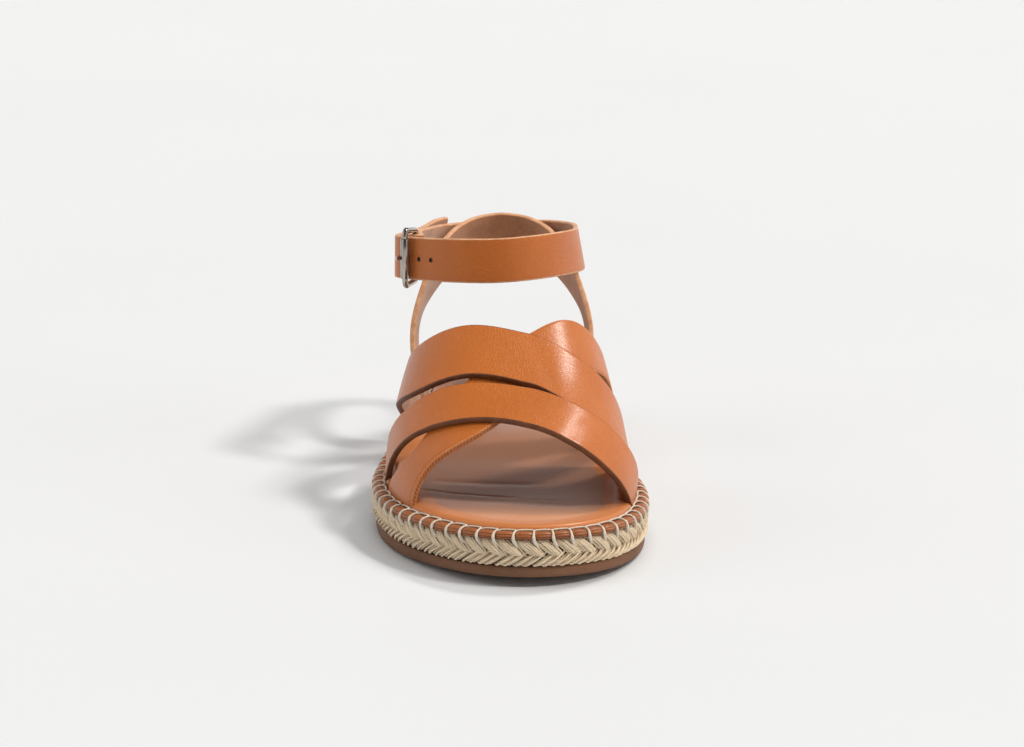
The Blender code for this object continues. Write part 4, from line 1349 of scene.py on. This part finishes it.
def build_stitch(context):
    """One looped stitch over the welt at each valley of the plait."""
    look = context.scene.sandal_sole
    rng = np.random.default_rng(STITCH_SEED)
    back, inset, level = columns(STITCH_ROUTE)
    run = run_length(np.column_stack([back * STRAND_PITCH, inset, level]))
    at = np.linspace(0, run[-1], THREAD_STEPS)
    back, inset, level = [spline(run, column)(at) for column in (back, inset, level)]
    leg = smooth((at - run[LEG_BEGINS]) / (run[LEG_WHOLE] - run[LEG_BEGINS]))
    paths = []
    for stitch in range(PLAIT_STRANDS):
        slant = rng.normal(0.0, STITCH_SLANT)
        reach = rng.normal(0.0, STITCH_REACH)
        s = stitch + STITCH_AT + back + slant * leg
        paths.append(on_sole(s, inset + reach * (1 - leg), level + rng.normal(0.0, STITCH_RISE)))
    thickening = smooth((at - run[LEG_THICKENS]) / LEG_SWELL_RUN)
    thick = look.thread_radius / MM * (1 + LEG_SWELL * thickening)
    angle = once_round(THREAD_SIDES)
    plies = 1 + PLY_RISE * np.cos(PLIES * (angle[None, :] - PLY_TWIST * at[:, None]))
    skin = tubes(np.array(paths), (thick[:, None] * plies)[None], THREAD_SIDES)
    colours = look.thread_colour, look.thread_shaded
    thread = fibre_material("stitch_thread", *colours, THREAD_FIBRES, THREAD_TWIST, depth=0.12)
    place("blanket_stitch", skin, [thread], "plaited_rope", smooth_angle=70.0)


FOOTBED_POINTS = 640
FOOTBED_COLUMNS = 36
# Edge of the footbed: inset, drop below its top
FOOTBED_EDGE = ((0.0, 4.2), (0.0, 2.2), (0.12, 1.5), (0.45, 0.85), (1.0, 0.35), (1.8, 0.08), (2.8, 0.0))
# Its burnished rim: width and fade in mm, strength
FOOTBED_RIM = (6.5, 2.4, 0.95)
# Painted shade of the straps: the footbed is coloured darker behind the toes; y where the shade begins, y
# where it is full
PAINTED_SHADE_FROM = (-104.0, -84.0)
# Notches where straps go down beside it: depth, how far they reach past a strap, over what run they end
NOTCH_DEPTH, NOTCH_MARGIN, NOTCH_RUN = 3.0, 1.0, 2.0
# Seats of the heel and the ball: y, half run, depth
SEATS = ((88.0, 22.0, 0.7), (-58.0, 24.0, 0.5))
# The seats begin at an inset and deepen over a run
SEAT_INSET, SEAT_RUN = 10.0, 14.0
# Creases of the footbed: from x, y to x, y, depth, half width
FOOTBED_CREASES = (
    (-33.0, -61.0, 4.0, -74.5, 0.28, 0.55),
    (4.0, -74.5, 22.0, -77.0, 0.14, 0.6),
    (-30.0, -50.0, 12.0, -57.0, 0.18, 2.4),
    (-34.0, -72.0, 26.0, -86.0, 0.16, 3.5),
)
# How far a crease wanders, over what length, and over what run it ends
CREASE_WANDER, CREASE_WAVE, CREASE_END = 0.8, 9.0, 6.0


def footbed_form(points):
    """A shallow seat for the heel and the ball, and the footbed's creases."""
    shaped = points.copy()
    x, y = points[..., 0], points[..., 1]
    border = np.minimum(x - edge_x(y, -1, SEAT_INSET), edge_x(y, 1, SEAT_INSET) - x)
    seat = sum(depth * np.exp(-((y - at) / half) ** 2) for at, half, depth in SEATS)
    shaped[..., 2] -= seat * smooth(border / SEAT_RUN)
    for x0, y0, x1, y1, depth, half in FOOTBED_CREASES:
        length = math.hypot(x1 - x0, y1 - y0)
        ux, uy = (x1 - x0) / length, (y1 - y0) / length
        along = (x - x0) * ux + (y - y0) * uy
        off = (x - x0) * -uy + (y - y0) * ux + CREASE_WANDER * np.sin(along / CREASE_WAVE)
        ends = smooth(along / CREASE_END) * smooth((length - along) / CREASE_END)
        shaped[..., 2] -= depth * np.exp(-(off / half) ** 2) * ends
    return shaped


def build_footbed(context):
    """A footbed with a rounded edge, let in where straps go down beside it."""
    look = context.scene.sandal_leather
    points, normals = outline_points(FOOTBED_POINTS)
    notch = np.zeros(len(points))
    for side, first, last in landings():
        beyond = np.maximum(first - points[:, 1], points[:, 1] - last)
        on_side = np.sign(points[:, 0] - crown_x(np.clip(points[:, 1], *LAST_Y[[0, -1]]))) == side
        notch = np.maximum(notch, on_side * smooth(1 - (beyond - NOTCH_MARGIN) / NOTCH_RUN))
    inset = INSOLE_INSET + NOTCH_DEPTH * notch
    rings = sole_rings(points, normals, [(inset + into, INSOLE_TOP - drop) for into, drop in FOOTBED_EDGE])
    lay = sole_lay(rings)
    lay[..., 2] = 0.0
    skin = Skin()
    index = skin.add(rings, lay, wrap_columns=True)
    fill_ring(skin, index[0], rings[0], HIDDEN_COLUMNS)
    fill_ring(skin, index[-1], rings[-1], FOOTBED_COLUMNS, footbed_form)
    # The footbed's colour darkens behind the toes as painted shade of the straps over it
    leather = grain_leather(
        "footbed_leather", look.footbed_colour, look.footbed_deep, look,
        cells=1900.0, depth=0.03, roughness=(0.38, 0.5), rim=FOOTBED_RIM,
        wear_and_painted_shade=(look.footbed_painted_shade, *PAINTED_SHADE_FROM),
    )
    place("footbed_leather", skin, [leather], "footbed_leather", "insole", smooth_angle=50.0)


# Straps

STRAP_COLUMNS = 150
# Creases of each strap: place along it, slant, first and last share across, depth in mm, half width along
STRAP_CREASES = {
    "strap_low": ((0.70, 0.03, -0.2, 0.9, 0.22, 0.020), (0.80, -0.02, 0.1, 1.2, 0.16, 0.016)),
    "strap_middle": (
        (0.30, 0.04, -0.2, 1.2, 0.16, 0.030),
        (0.66, -0.05, -0.2, 1.2, 0.20, 0.026),
        (0.78, -0.03, 0.2, 1.2, 0.14, 0.018),
    ),
    "strap_top": ((0.26, -0.04, -0.2, 1.2, 0.16, 0.028), (0.72, 0.05, -0.2, 0.9, 0.18, 0.024)),
}
# Over what share across a crease ends
CREASE_ENDS_ACROSS = 0.2
# A strap whose edges are turned and stitched, with a groove beside its front edge
TURNED_STRAPS = ("strap_low",)
TURNED_ROWS = np.concatenate([np.linspace(1.0, 0.14, 18), np.linspace(0.12, 0.0, 11)])
GROOVE_AT, GROOVE_HALF, GROOVE_DEPTH = 1.2, 0.32, 0.2
# Stitches over that edge: length, pitch, thread radius, run before the first one, points along each
EDGE_STITCH, EDGE_STITCH_PITCH, EDGE_THREAD = 0.95, 1.3, 0.3
EDGE_STITCH_FROM, EDGE_STITCH_STEPS = 0.4, 9
# How far they stand out, how full their bow is, and the levels of their ends in the strap's thickness
EDGE_BULGE, EDGE_BOW = 0.36, 0.6
EDGE_STITCH_LOW, EDGE_STITCH_HIGH = 0.35, 0.8
# The stretch of the edge that they follow, as shares of the strap's length, and the points read on it
EDGE_SPAN, EDGE_SAMPLES = (0.012, 0.985), 900


def strap_faces(look, edge):
    """Materials of a strap's grain side, cut edge and flesh side, made once and shared by the straps."""
    made = bpy.data.materials
    if "strap_grain" not in made:
        grain_leather("strap_grain", look.strap_colour, look.strap_deep, look)
        cut_edge("waxed_edge", look.edge_colour, look.edge_deep)
        cut_edge("pale_edge", look.pale_edge, look.pale_edge_deep)
        cut_edge("turned_edge", look.turned_edge, look.strap_colour)
        # The hole walls' near-black colour is painted shade
        cut_edge("hole_wall", look.hole_painted_shade, look.hole_painted_shade)
        flesh_side("flesh_side", look.flesh_colour, look.flesh_deep)
    return [made["strap_grain"], made[edge], made["flesh_side"]]


def vamp_surface(name, front_y, back_y):
    """The flesh side of a vamp strap: surface(across, share from the front edge to the back edge)."""
    front, back = spline(STRAP_STEPS, front_y), spline(STRAP_STEPS, back_y)
    rides = []
    if name in RIDES:
        steps = np.linspace(0, 1, len(RIDES[name][0]))
        rides = [spline(steps, row) for row in RIDES[name]]

    def surface(across, share):
        across = across + 0 * share
        y = front(across) + (back(across) - front(across)) * share
        lift = np.zeros_like(y)
        if rides:
            lift = np.clip(rides[0](across) * (1 - share) + rides[1](across) * share, 0.0, None)
        return lifted(last_point, y, across, lift * (STRAP_THICKNESS + STRAP_SLACK))

    return surface


def strap_relief(name):
    """Soft troughs and ridges of a strap, and the groove beside a turned edge."""
    def relief(along, share, across_mm):
        height = np.zeros_like(share)
        for place_along, slant, first, last, depth, half in STRAP_CREASES[name]:
            off = (along - place_along - slant * (share - 0.5)) / half
            ends = smooth((share - first) / CREASE_ENDS_ACROSS) * smooth((last - share) / CREASE_ENDS_ACROSS)
            height = height - depth * (1 - 2 * off ** 2 / 3) * np.exp(-off ** 2) * ends
        if name in TURNED_STRAPS:
            height = height - GROOVE_DEPTH * np.exp(-((across_mm - GROOVE_AT) / GROOVE_HALF) ** 2)
        return height

    return relief


def edge_stitches(surface, look):
    """A row of short slanted stitches over the front edge of a turned strap."""
    across = np.linspace(*EDGE_SPAN, EDGE_SAMPLES)[:, None]
    line = surface(across, np.zeros((1, 1)))[:, 0]
    over = unit(surface(across, np.full((1, 1), ACROSS_STEP))[:, 0] - line)
    up = unit(np.cross(np.gradient(line, axis=0), over))
    run = run_length(line)
    starts = np.arange(EDGE_STITCH_FROM, run[-1] - EDGE_STITCH, EDGE_STITCH_PITCH)
    t = np.linspace(0, 1, EDGE_STITCH_STEPS)
    at = starts[:, None] + EDGE_STITCH * t

    def along(field):
        return np.stack([np.interp(at, run, column) for column in field.T], -1)

    bulge = EDGE_BULGE * np.sin(math.pi * t) ** EDGE_BOW - EDGE_THREAD
    height = STRAP_THICKNESS * (EDGE_STITCH_LOW + (EDGE_STITCH_HIGH - EDGE_STITCH_LOW) * t)
    paths = along(line) + along(-over) * bulge[None, :, None] + along(up) * height[None, :, None]
    colours = look.edge_thread, look.edge_thread_shaded
    thread = fibre_material("edge_thread", *colours, THREAD_FIBRES, THREAD_TWIST, depth=0.05)
    skin = tubes(paths, EDGE_THREAD, THREAD_SIDES)
    place("strap_stitch", skin, [thread], "strap_leather", smooth_angle=70.0)


def build_vamp(context):
    """Three straps over the last; each rides over the ones below it."""
    look = context.scene.sandal_leather
    corner = look.edge_corner / MM
    across = np.linspace(0, 1, STRAP_COLUMNS + 1)[:, None]
    for name, front_y, back_y in VAMP_STRAPS:
        strap = vamp_surface(name, front_y, back_y)
        turned = name in TURNED_STRAPS
        rows, edge = (TURNED_ROWS, "turned_edge") if turned else (PLAIN_ROWS, "waxed_edge")
        skin = band(lambda share: strap(across, share), STRAP_THICKNESS, corner, rows, strap_relief(name))
        place(name, skin, strap_faces(look, edge), "strap_leather", "vamp_straps")
        if turned:
            edge_stitches(strap, look)


HEEL_COLUMNS = 180


def build_heel_strap(context):
    """One band from landing to landing over the back of the heel, arched underneath."""
    look = context.scene.sandal_leather
    steps = np.linspace(0, 1, len(HEEL_STRAP))
    curves = [spline(steps, column) for column in columns(HEEL_STRAP)]
    along = np.linspace(-1, 1, HEEL_COLUMNS + 1)[:, None]
    at = 1 - np.abs(along)
    front_angle, front_z, arch_angle, arch_z = [np.maximum(curve(at), 0.0) for curve in curves]

    def surface(share):
        angle = np.maximum(front_angle + (arch_angle - front_angle) * share, 1e-6)
        z = front_z + (arch_z - front_z) * share
        return heel_point(angle, z, np.sign(along + 1e-9), 0.0)

    skin = band(surface, HEEL_THICKNESS, look.edge_corner / MM)
    place("heel_band", skin, strap_faces(look, "pale_edge"), "strap_leather", "heel_strap")


ANKLE_STEP = 1.2
ANKLE_FOLD_STEPS = 20
ANKLE_ROWS = np.linspace(1, 0, 15)
WIRE_SIDES = 20


def cut_away(obj, cutters):
    """Cuts the cutters out of a piece and removes them."""
    for cutter in cutters:
        cut = obj.modifiers.new(cutter.name, "BOOLEAN")
        cut.object = cutter
        cut.operation = "DIFFERENCE"
        cut.solver = "EXACT"
        cut.material_mode = "TRANSFER"
    depsgraph = bpy.context.evaluated_depsgraph_get()
    mesh = bpy.data.meshes.new_from_object(obj.evaluated_get(depsgraph))
    obj.modifiers.clear()
    obj.data = mesh
    for cutter in cutters:
        bpy.data.objects.remove(cutter)


def add_cutter(name, skin, material):
    """An object to be cut out of a piece, which leaves its material on the cut."""
    obj = bpy.data.objects.new(name, skin.mesh(name, [material]))
    bpy.context.scene.collection.objects.link(obj)
    return obj


def rod(ends, radius):
    """Skin of a straight round rod between two points."""
    return tubes(np.linspace(*ends, 3)[None], radius, WIRE_SIDES)


def prong_slot():
    """Skin of the slot in the fold, where the prong turns round the hinge bar."""
    along, out, up = np.array([(*BUCKLE_U, 0.0), (*BUCKLE_N, 0.0), (0.0, 0.0, 1.0)])
    half_along, half_out, half_up = np.array(SLOT_SIZE) / 2
    centre = buckle_point(BUCKLE_LENGTH / 2, 0.0, 0.0)
    rings = []
    for end in (-1, 1):
        ring = []
        for s, n in ((-1, -1), (1, -1), (1, 1), (-1, 1)):
            ring.append(centre + s * half_along * along + n * half_out * out + end * half_up * up)
        rings.append(ring)
    skin = Skin()
    skin.add(np.array(rings), np.zeros(3), wrap_columns=True, cap_zone=0)
    return skin


def ankle_cutters(path, outward, level):
    """What is cut out of the ankle strap: the prong's passage and slot, and the row of holes."""
    # The holes' walls take a near-black colour, painted shade inside the holes
    waxed, dark = bpy.data.materials["waxed_edge"], bpy.data.materials["hole_wall"]
    shank = prong_route()[PRONG_TURN_STEPS:PRONG_TURN_STEPS + 2]
    cutters = [
        add_cutter("passage", rod(shank, PRONG_WIRE + PRONG_CLEARANCE), waxed),
        add_cutter("prong_slot", prong_slot(), waxed),
    ]
    run = run_length(path)
    at_prong = len(path) - 1 - np.argmin(np.linalg.norm(path[::-1] - shank[:, :2].mean(axis=0), axis=1))
    for number in HOLES_FROM_PRONG:
        at = run[at_prong] + number * HOLE_PITCH
        middle = np.array([np.interp(at, run, column) for column in (*path.T, level)])
        through = np.array([*[np.interp(at, run, column) for column in outward.T], 0.0]) * ANKLE_THICKNESS
        hole = rod((middle - through, middle + through), HOLE_RADIUS)
        cutters.append(add_cutter(f"hole_{number}", hole, dark))
    return cutters


def build_ankle_strap(context):
    """A strap round the ankle, from its fold on the hinge bar, under the roller and out to its tail."""
    look = context.scene.sandal_leather
    path = ankle_path(ANKLE_STEP, ANKLE_FOLD_STEPS)
    tangent = unit(np.gradient(path, axis=0))
    outward = np.column_stack([-tangent[:, 1], tangent[:, 0]])
    run = run_length(path)
    level = ankle_level(path[:, 0], path[:, 1]) + TAIL_RISE * smooth((run - run[-1] + TAIL_RUN) / TAIL_RUN)
    lean = ANKLE_LEAN * smooth(np.linalg.norm(path - BUCKLE_MIDDLE, axis=1) / LEAN_RUN)

    def surface(share):
        height = (0.5 - share) * ANKLE_WIDTH
        plan = path[:, None] - outward[:, None] * (lean[:, None] * height + ANKLE_THICKNESS / 2)[..., None]
        return np.concatenate([plan, (level[:, None] + height + 0 * lean[:, None])[..., None]], -1)

    skin = band(surface, ANKLE_THICKNESS, look.edge_corner / MM, ANKLE_ROWS)
    strap = place("ankle_band", skin, strap_faces(look, "pale_edge"), "strap_leather", "ankle_strap")
    cut_away(strap, ankle_cutters(path, outward, level))


# Buckle

CORNER_STEPS = 9
PRONG_STEPS = 60
# By what share the prong tapers to its tip, over what run, and how its ends are rounded off
PRONG_TAPER, PRONG_TAPER_RUN = 0.35, 5.0
PRONG_END = (0.92, 0.6)
ROLLER_SIDES = 40
# Rounding of the roller's ends: how far it reaches, its middle's depth, and how far the bore's rim lies back
ROLLER_SOFT, ROLLER_CORNER, ROLLER_RIM = 0.3, 0.08, 0.1


def frame_route():
    """The wire frame, once round in its own plane."""
    half_u = BUCKLE_LENGTH / 2
    route = []
    for corner, (su, sz) in enumerate(((1, 1), (-1, 1), (-1, -1), (1, -1))):
        height = HINGE_END_HEIGHT if su > 0 else ROLLER_END_HEIGHT
        for angle in np.radians(90 * corner + np.linspace(0, 90, CORNER_STEPS)):
            u = su * (half_u - BUCKLE_CORNER) + BUCKLE_CORNER * math.cos(angle)
            z = sz * (height / 2 - BUCKLE_CORNER) + BUCKLE_CORNER * math.sin(angle)
            route.append(buckle_point(u, 0.0, z))
    return np.array(route)


def prong_skin():
    """The tapered prong along its route."""
    knots = prong_route()
    run = run_length(knots)
    at = np.linspace(0, run[-1], PRONG_STEPS)
    route = np.column_stack([spline(run, column)(at) for column in knots.T])
    radii = PRONG_WIRE * (1 - PRONG_TAPER * smooth((at - run[-1] + PRONG_TAPER_RUN) / PRONG_TAPER_RUN))
    radii[-2:] *= PRONG_END
    radii[:2] *= PRONG_END[::-1]
    return tubes(route[None], radii[None, :, None], WIRE_SIDES)


def roller_skin():
    """A turned tube on the front bar."""
    bore = BUCKLE_WIRE + GAP / 2
    end = ROLLER_LENGTH / 2
    upper = (
        (bore, end - ROLLER_RIM),
        (ROLLER_RADIUS - ROLLER_SOFT, end),
        (ROLLER_RADIUS - ROLLER_CORNER, end - ROLLER_CORNER),
        (ROLLER_RADIUS, end - ROLLER_SOFT),
    )
    profile = (*upper, (ROLLER_RADIUS, 0.0), *[(radius, -z) for radius, z in reversed(upper)])
    x, y, middle = buckle_point(-BUCKLE_LENGTH / 2, 0.0, 0.0)
    angle = once_round(ROLLER_SIDES)
    rings = []
    for radius, z in profile:
        level = np.full(ROLLER_SIDES, middle + z)
        rings.append(np.column_stack([x + radius * np.cos(angle), y + radius * np.sin(angle), level]))
    skin = Skin()
    skin.add(np.array(rings), np.zeros(3), wrap_rows=True, wrap_columns=True)
    return skin


def build_buckle(context):
    """Wire frame, tapered prong and turned roller."""
    metal = [metal_material(context.scene.sandal_buckle)]
    wire = tubes(frame_route()[None], BUCKLE_WIRE, WIRE_SIDES, closed=True)
    place("buckle_wire", wire, metal, "buckle_metal", "buckle_frame", smooth_angle=60.0)
    place("buckle_tongue", prong_skin(), metal, "buckle_metal", "buckle_prong", smooth_angle=60.0)
    place("buckle_tube", roller_skin(), metal, "buckle_metal", "buckle_roller", smooth_angle=50.0)


# Stage

FLOOR_ROWS, FLOOR_COLUMNS = 24, 8
# The floor is in metres, and sweeps up at the back: from which y, over what run, how high
FLOOR_REACH = (-4.0, 4.0)
SWEEP_FROM, SWEEP_RUN, SWEEP_HEIGHT = 2.6, 1.4, 1.2
# Clouds of the floor's colour per metre, and how bright they are beside the rest
FLOOR_CLOUDS, CLOUD_SHARE = 3.0, 0.985
WARM, WHITE = (1.0, 0.97, 0.93), (1.0, 1.0, 1.0)
# Distant lights: name, direction it comes from, colour, whether it glints on the leather
LIGHTS = (
    ("key", (0.60, -0.22, 0.77), WARM, False),
    ("side", (0.42, 0.36, 0.83), WARM, True),
    ("front", (0.08, -0.97, 0.2), WHITE, False),
    ("inner", (0.90, -0.25, 0.36), WARM, False),
    ("outer", (-0.85, -0.10, 0.50), WHITE, False),
    ("top", (0.0, 0.0, 1.0), WHITE, False),
)
# The pale walls begin and are whole at these shares of the way to a side
WALLS_FROM, WALLS_WHOLE = 0.3, 0.7
SENSOR_WIDTH = 36.0
CLIP_END = 20.0


def add_floor(scene, pale):
    """A pale floor that sweeps up at the back."""
    rows = np.linspace(*FLOOR_REACH, FLOOR_ROWS + 1) / MM
    rise = SWEEP_HEIGHT * smooth((rows * MM - SWEEP_FROM) / SWEEP_RUN) / MM
    across = np.linspace(*FLOOR_REACH, FLOOR_COLUMNS + 1) / MM
    grid = np.stack(np.broadcast_arrays(across[None, :], rows[:, None], rise[:, None]), -1)
    skin = Skin()
    skin.add(grid, np.zeros(3))
    material, w, shader = new_material("studio_floor", Roughness=0.6)
    clouds = w.ease(w.noise(w.place(), FLOOR_CLOUDS), 0.3, 0.7)
    cloud = [CLOUD_SHARE * channel for channel in pale]
    w.link(w.blend(clouds, rgba(pale), rgba(cloud)), shader["Base Color"])
    floor = bpy.data.objects.new("studio_floor", skin.mesh("studio_floor", [material]))
    scene.collection.objects.link(floor)


def add_light(scene, name, direction, colour, strength, softness, glints):
    """A distant soft light, which may glint on the leather."""
    data = bpy.data.lights.new(name, "SUN")
    data.color = colour
    data.energy = strength
    data.angle = softness
    light = bpy.data.objects.new(name, data)
    scene.collection.objects.link(light)
    light.visible_glossy = glints
    light.location = direction
    beam = Vector((0.0, 0.0, 0.0)) - Vector(direction)
    light.rotation_euler = beam.to_track_quat("-Z", "Y").to_euler()


def add_room(scene, ambient, side_walls):
    """A dim room, with pale walls at both sides that show only in reflections."""
    world = bpy.data.worlds.new("studio")
    world.use_nodes = True
    w = Wiring(world.node_tree)
    towards = w.add("ShaderNodeTexCoord").outputs["Generated"]
    sideways = w.math("ABSOLUTE", w.axes(towards)["X"])
    walls = w.ease(sideways, WALLS_FROM, WALLS_WHOLE, to_low=ambient, to_high=side_walls)
    glossy = w.add("ShaderNodeLightPath").outputs["Is Glossy Ray"]
    bright = w.add("ShaderNodeMapRange", {"Value": glossy, "To Min": ambient, "To Max": walls}).outputs[0]
    background = world.node_tree.nodes["Background"].inputs
    background["Color"].default_value = rgba(WHITE)
    w.link(bright, background["Strength"])
    scene.world = world


def add_camera(scene, look):
    """The camera, level across, which looks down at the shoe from in front of the toe."""
    data = bpy.data.cameras.new("photo_camera")
    data.lens = look.lens
    data.sensor_width = SENSOR_WIDTH
    data.clip_end = CLIP_END
    camera = bpy.data.objects.new("photo_camera", data)
    scene.collection.objects.link(camera)
    back, up = math.cos(look.elevation), math.sin(look.elevation)
    camera.location = Vector(look.look_at) + look.distance * Vector((0.0, -back, up))
    camera.rotation_euler = (math.pi / 2 - look.elevation, 0.0, 0.0)
    scene.camera = camera


def build_stage(context):
    """Floor, lights, room and camera."""
    scene = context.scene
    look = scene.sandal_stage
    add_floor(scene, look.floor_colour)
    for name, direction, colour, glints in LIGHTS:
        strength = getattr(look, f"{name}_strength")
        softness = getattr(look, f"{name}_softness")
        add_light(scene, name, direction, colour, strength, softness, glints)
    add_room(scene, look.ambient, look.side_walls)
    add_camera(scene, look)
    scene.view_settings.view_transform = "Standard"


# Operators

class SANDAL_OT_outsole(bpy.types.Operator):
    """Make the rubber outsole with its tread"""
    bl_idname = "sandal.outsole"
    bl_label = "Outsole"
    bl_options = {"REGISTER", "UNDO"}

    def execute(self, context):
        build_outsole(context)
        return {"FINISHED"}


class SANDAL_OT_rope(bpy.types.Operator):
    """Make the plaited rope round the sole, yarn by yarn"""
    bl_idname = "sandal.rope"
    bl_label = "Plaited Rope"
    bl_options = {"REGISTER", "UNDO"}

    def execute(self, context):
        build_rope(context)
        return {"FINISHED"}


class SANDAL_OT_welt(bpy.types.Operator):
    """Make the welt, drawn in under each stitch"""
    bl_idname = "sandal.welt"
    bl_label = "Welt"
    bl_options = {"REGISTER", "UNDO"}

    def execute(self, context):
        build_welt(context)
        return {"FINISHED"}


class SANDAL_OT_stitch(bpy.types.Operator):
    """Make the blanket stitch over the welt"""
    bl_idname = "sandal.stitch"
    bl_label = "Blanket Stitch"
    bl_options = {"REGISTER", "UNDO"}

    def execute(self, context):
        build_stitch(context)
        return {"FINISHED"}


class SANDAL_OT_footbed(bpy.types.Operator):
    """Make the footbed with its creases"""
    bl_idname = "sandal.footbed"
    bl_label = "Footbed"
    bl_options = {"REGISTER", "UNDO"}

    def execute(self, context):
        build_footbed(context)
        return {"FINISHED"}


class SANDAL_OT_vamp(bpy.types.Operator):
    """Make the three straps that cross over the forefoot"""
    bl_idname = "sandal.vamp"
    bl_label = "Vamp Straps"
    bl_options = {"REGISTER", "UNDO"}

    def execute(self, context):
        build_vamp(context)
        return {"FINISHED"}


class SANDAL_OT_heel_strap(bpy.types.Operator):
    """Make the strap over the back of the heel"""
    bl_idname = "sandal.heel_strap"
    bl_label = "Heel Strap"
    bl_options = {"REGISTER", "UNDO"}

    def execute(self, context):
        build_heel_strap(context)
        return {"FINISHED"}


class SANDAL_OT_ankle_strap(bpy.types.Operator):
    """Make the ankle strap with its holes"""
    bl_idname = "sandal.ankle_strap"
    bl_label = "Ankle Strap"
    bl_options = {"REGISTER", "UNDO"}

    def execute(self, context):
        build_ankle_strap(context)
        return {"FINISHED"}


class SANDAL_OT_buckle(bpy.types.Operator):
    """Make the buckle's frame, prong and roller"""
    bl_idname = "sandal.buckle"
    bl_label = "Buckle"
    bl_options = {"REGISTER", "UNDO"}

    def execute(self, context):
        build_buckle(context)
        return {"FINISHED"}


class SANDAL_OT_stage(bpy.types.Operator):
    """Make the floor, the lights and the camera"""
    bl_idname = "sandal.stage"
    bl_label = "Stage"
    bl_options = {"REGISTER", "UNDO"}

    def execute(self, context):
        build_stage(context)
        return {"FINISHED"}


OPERATORS = (
    SANDAL_OT_outsole,
    SANDAL_OT_rope,
    SANDAL_OT_welt,
    SANDAL_OT_stitch,
    SANDAL_OT_footbed,
    SANDAL_OT_vamp,
    SANDAL_OT_heel_strap,
    SANDAL_OT_ankle_strap,
    SANDAL_OT_buckle,
    SANDAL_OT_stage,
)

SETTINGS = {
    "sandal_leather": SandalLeather,
    "sandal_sole": SandalSole,
    "sandal_buckle": SandalBuckle,
    "sandal_stage": SandalStage,
}


class SANDAL_PT_sidebar(bpy.types.Panel):
    """Lists the sandal's pieces and settings"""
    bl_idname = "SANDAL_PT_sidebar"
    bl_label = "Leather Sandal"
    bl_space_type = "VIEW_3D"
    bl_region_type = "UI"
    bl_category = "Sandal"

    def draw(self, context):
        for operator in OPERATORS:
            self.layout.operator(operator.bl_idname)
        for setting in SETTINGS:
            box = self.layout.box()
            group = getattr(context.scene, setting)
            for name in group.bl_rna.properties.keys():
                if name not in ("rna_type", "name"):
                    box.prop(group, name)


def register():
    for cls in (*SETTINGS.values(), *OPERATORS, SANDAL_PT_sidebar):
        bpy.utils.register_class(cls)
    for name, cls in SETTINGS.items():
        setattr(bpy.types.Scene, name, bpy.props.PointerProperty(type=cls))


def unregister():
    for name in SETTINGS:
        delattr(bpy.types.Scene, name)
    for cls in reversed((*SETTINGS.values(), *OPERATORS, SANDAL_PT_sidebar)):
        bpy.utils.unregister_class(cls)


def main():
    register()
    bpy.ops.sandal.outsole()
    bpy.ops.sandal.rope()
    bpy.ops.sandal.welt()
    bpy.ops.sandal.stitch()
    bpy.ops.sandal.footbed()
    bpy.ops.sandal.vamp()
    bpy.ops.sandal.heel_strap()
    bpy.ops.sandal.ankle_strap()
    bpy.ops.sandal.buckle()
    bpy.ops.sandal.stage()


if __name__ == "__main__":
    main()
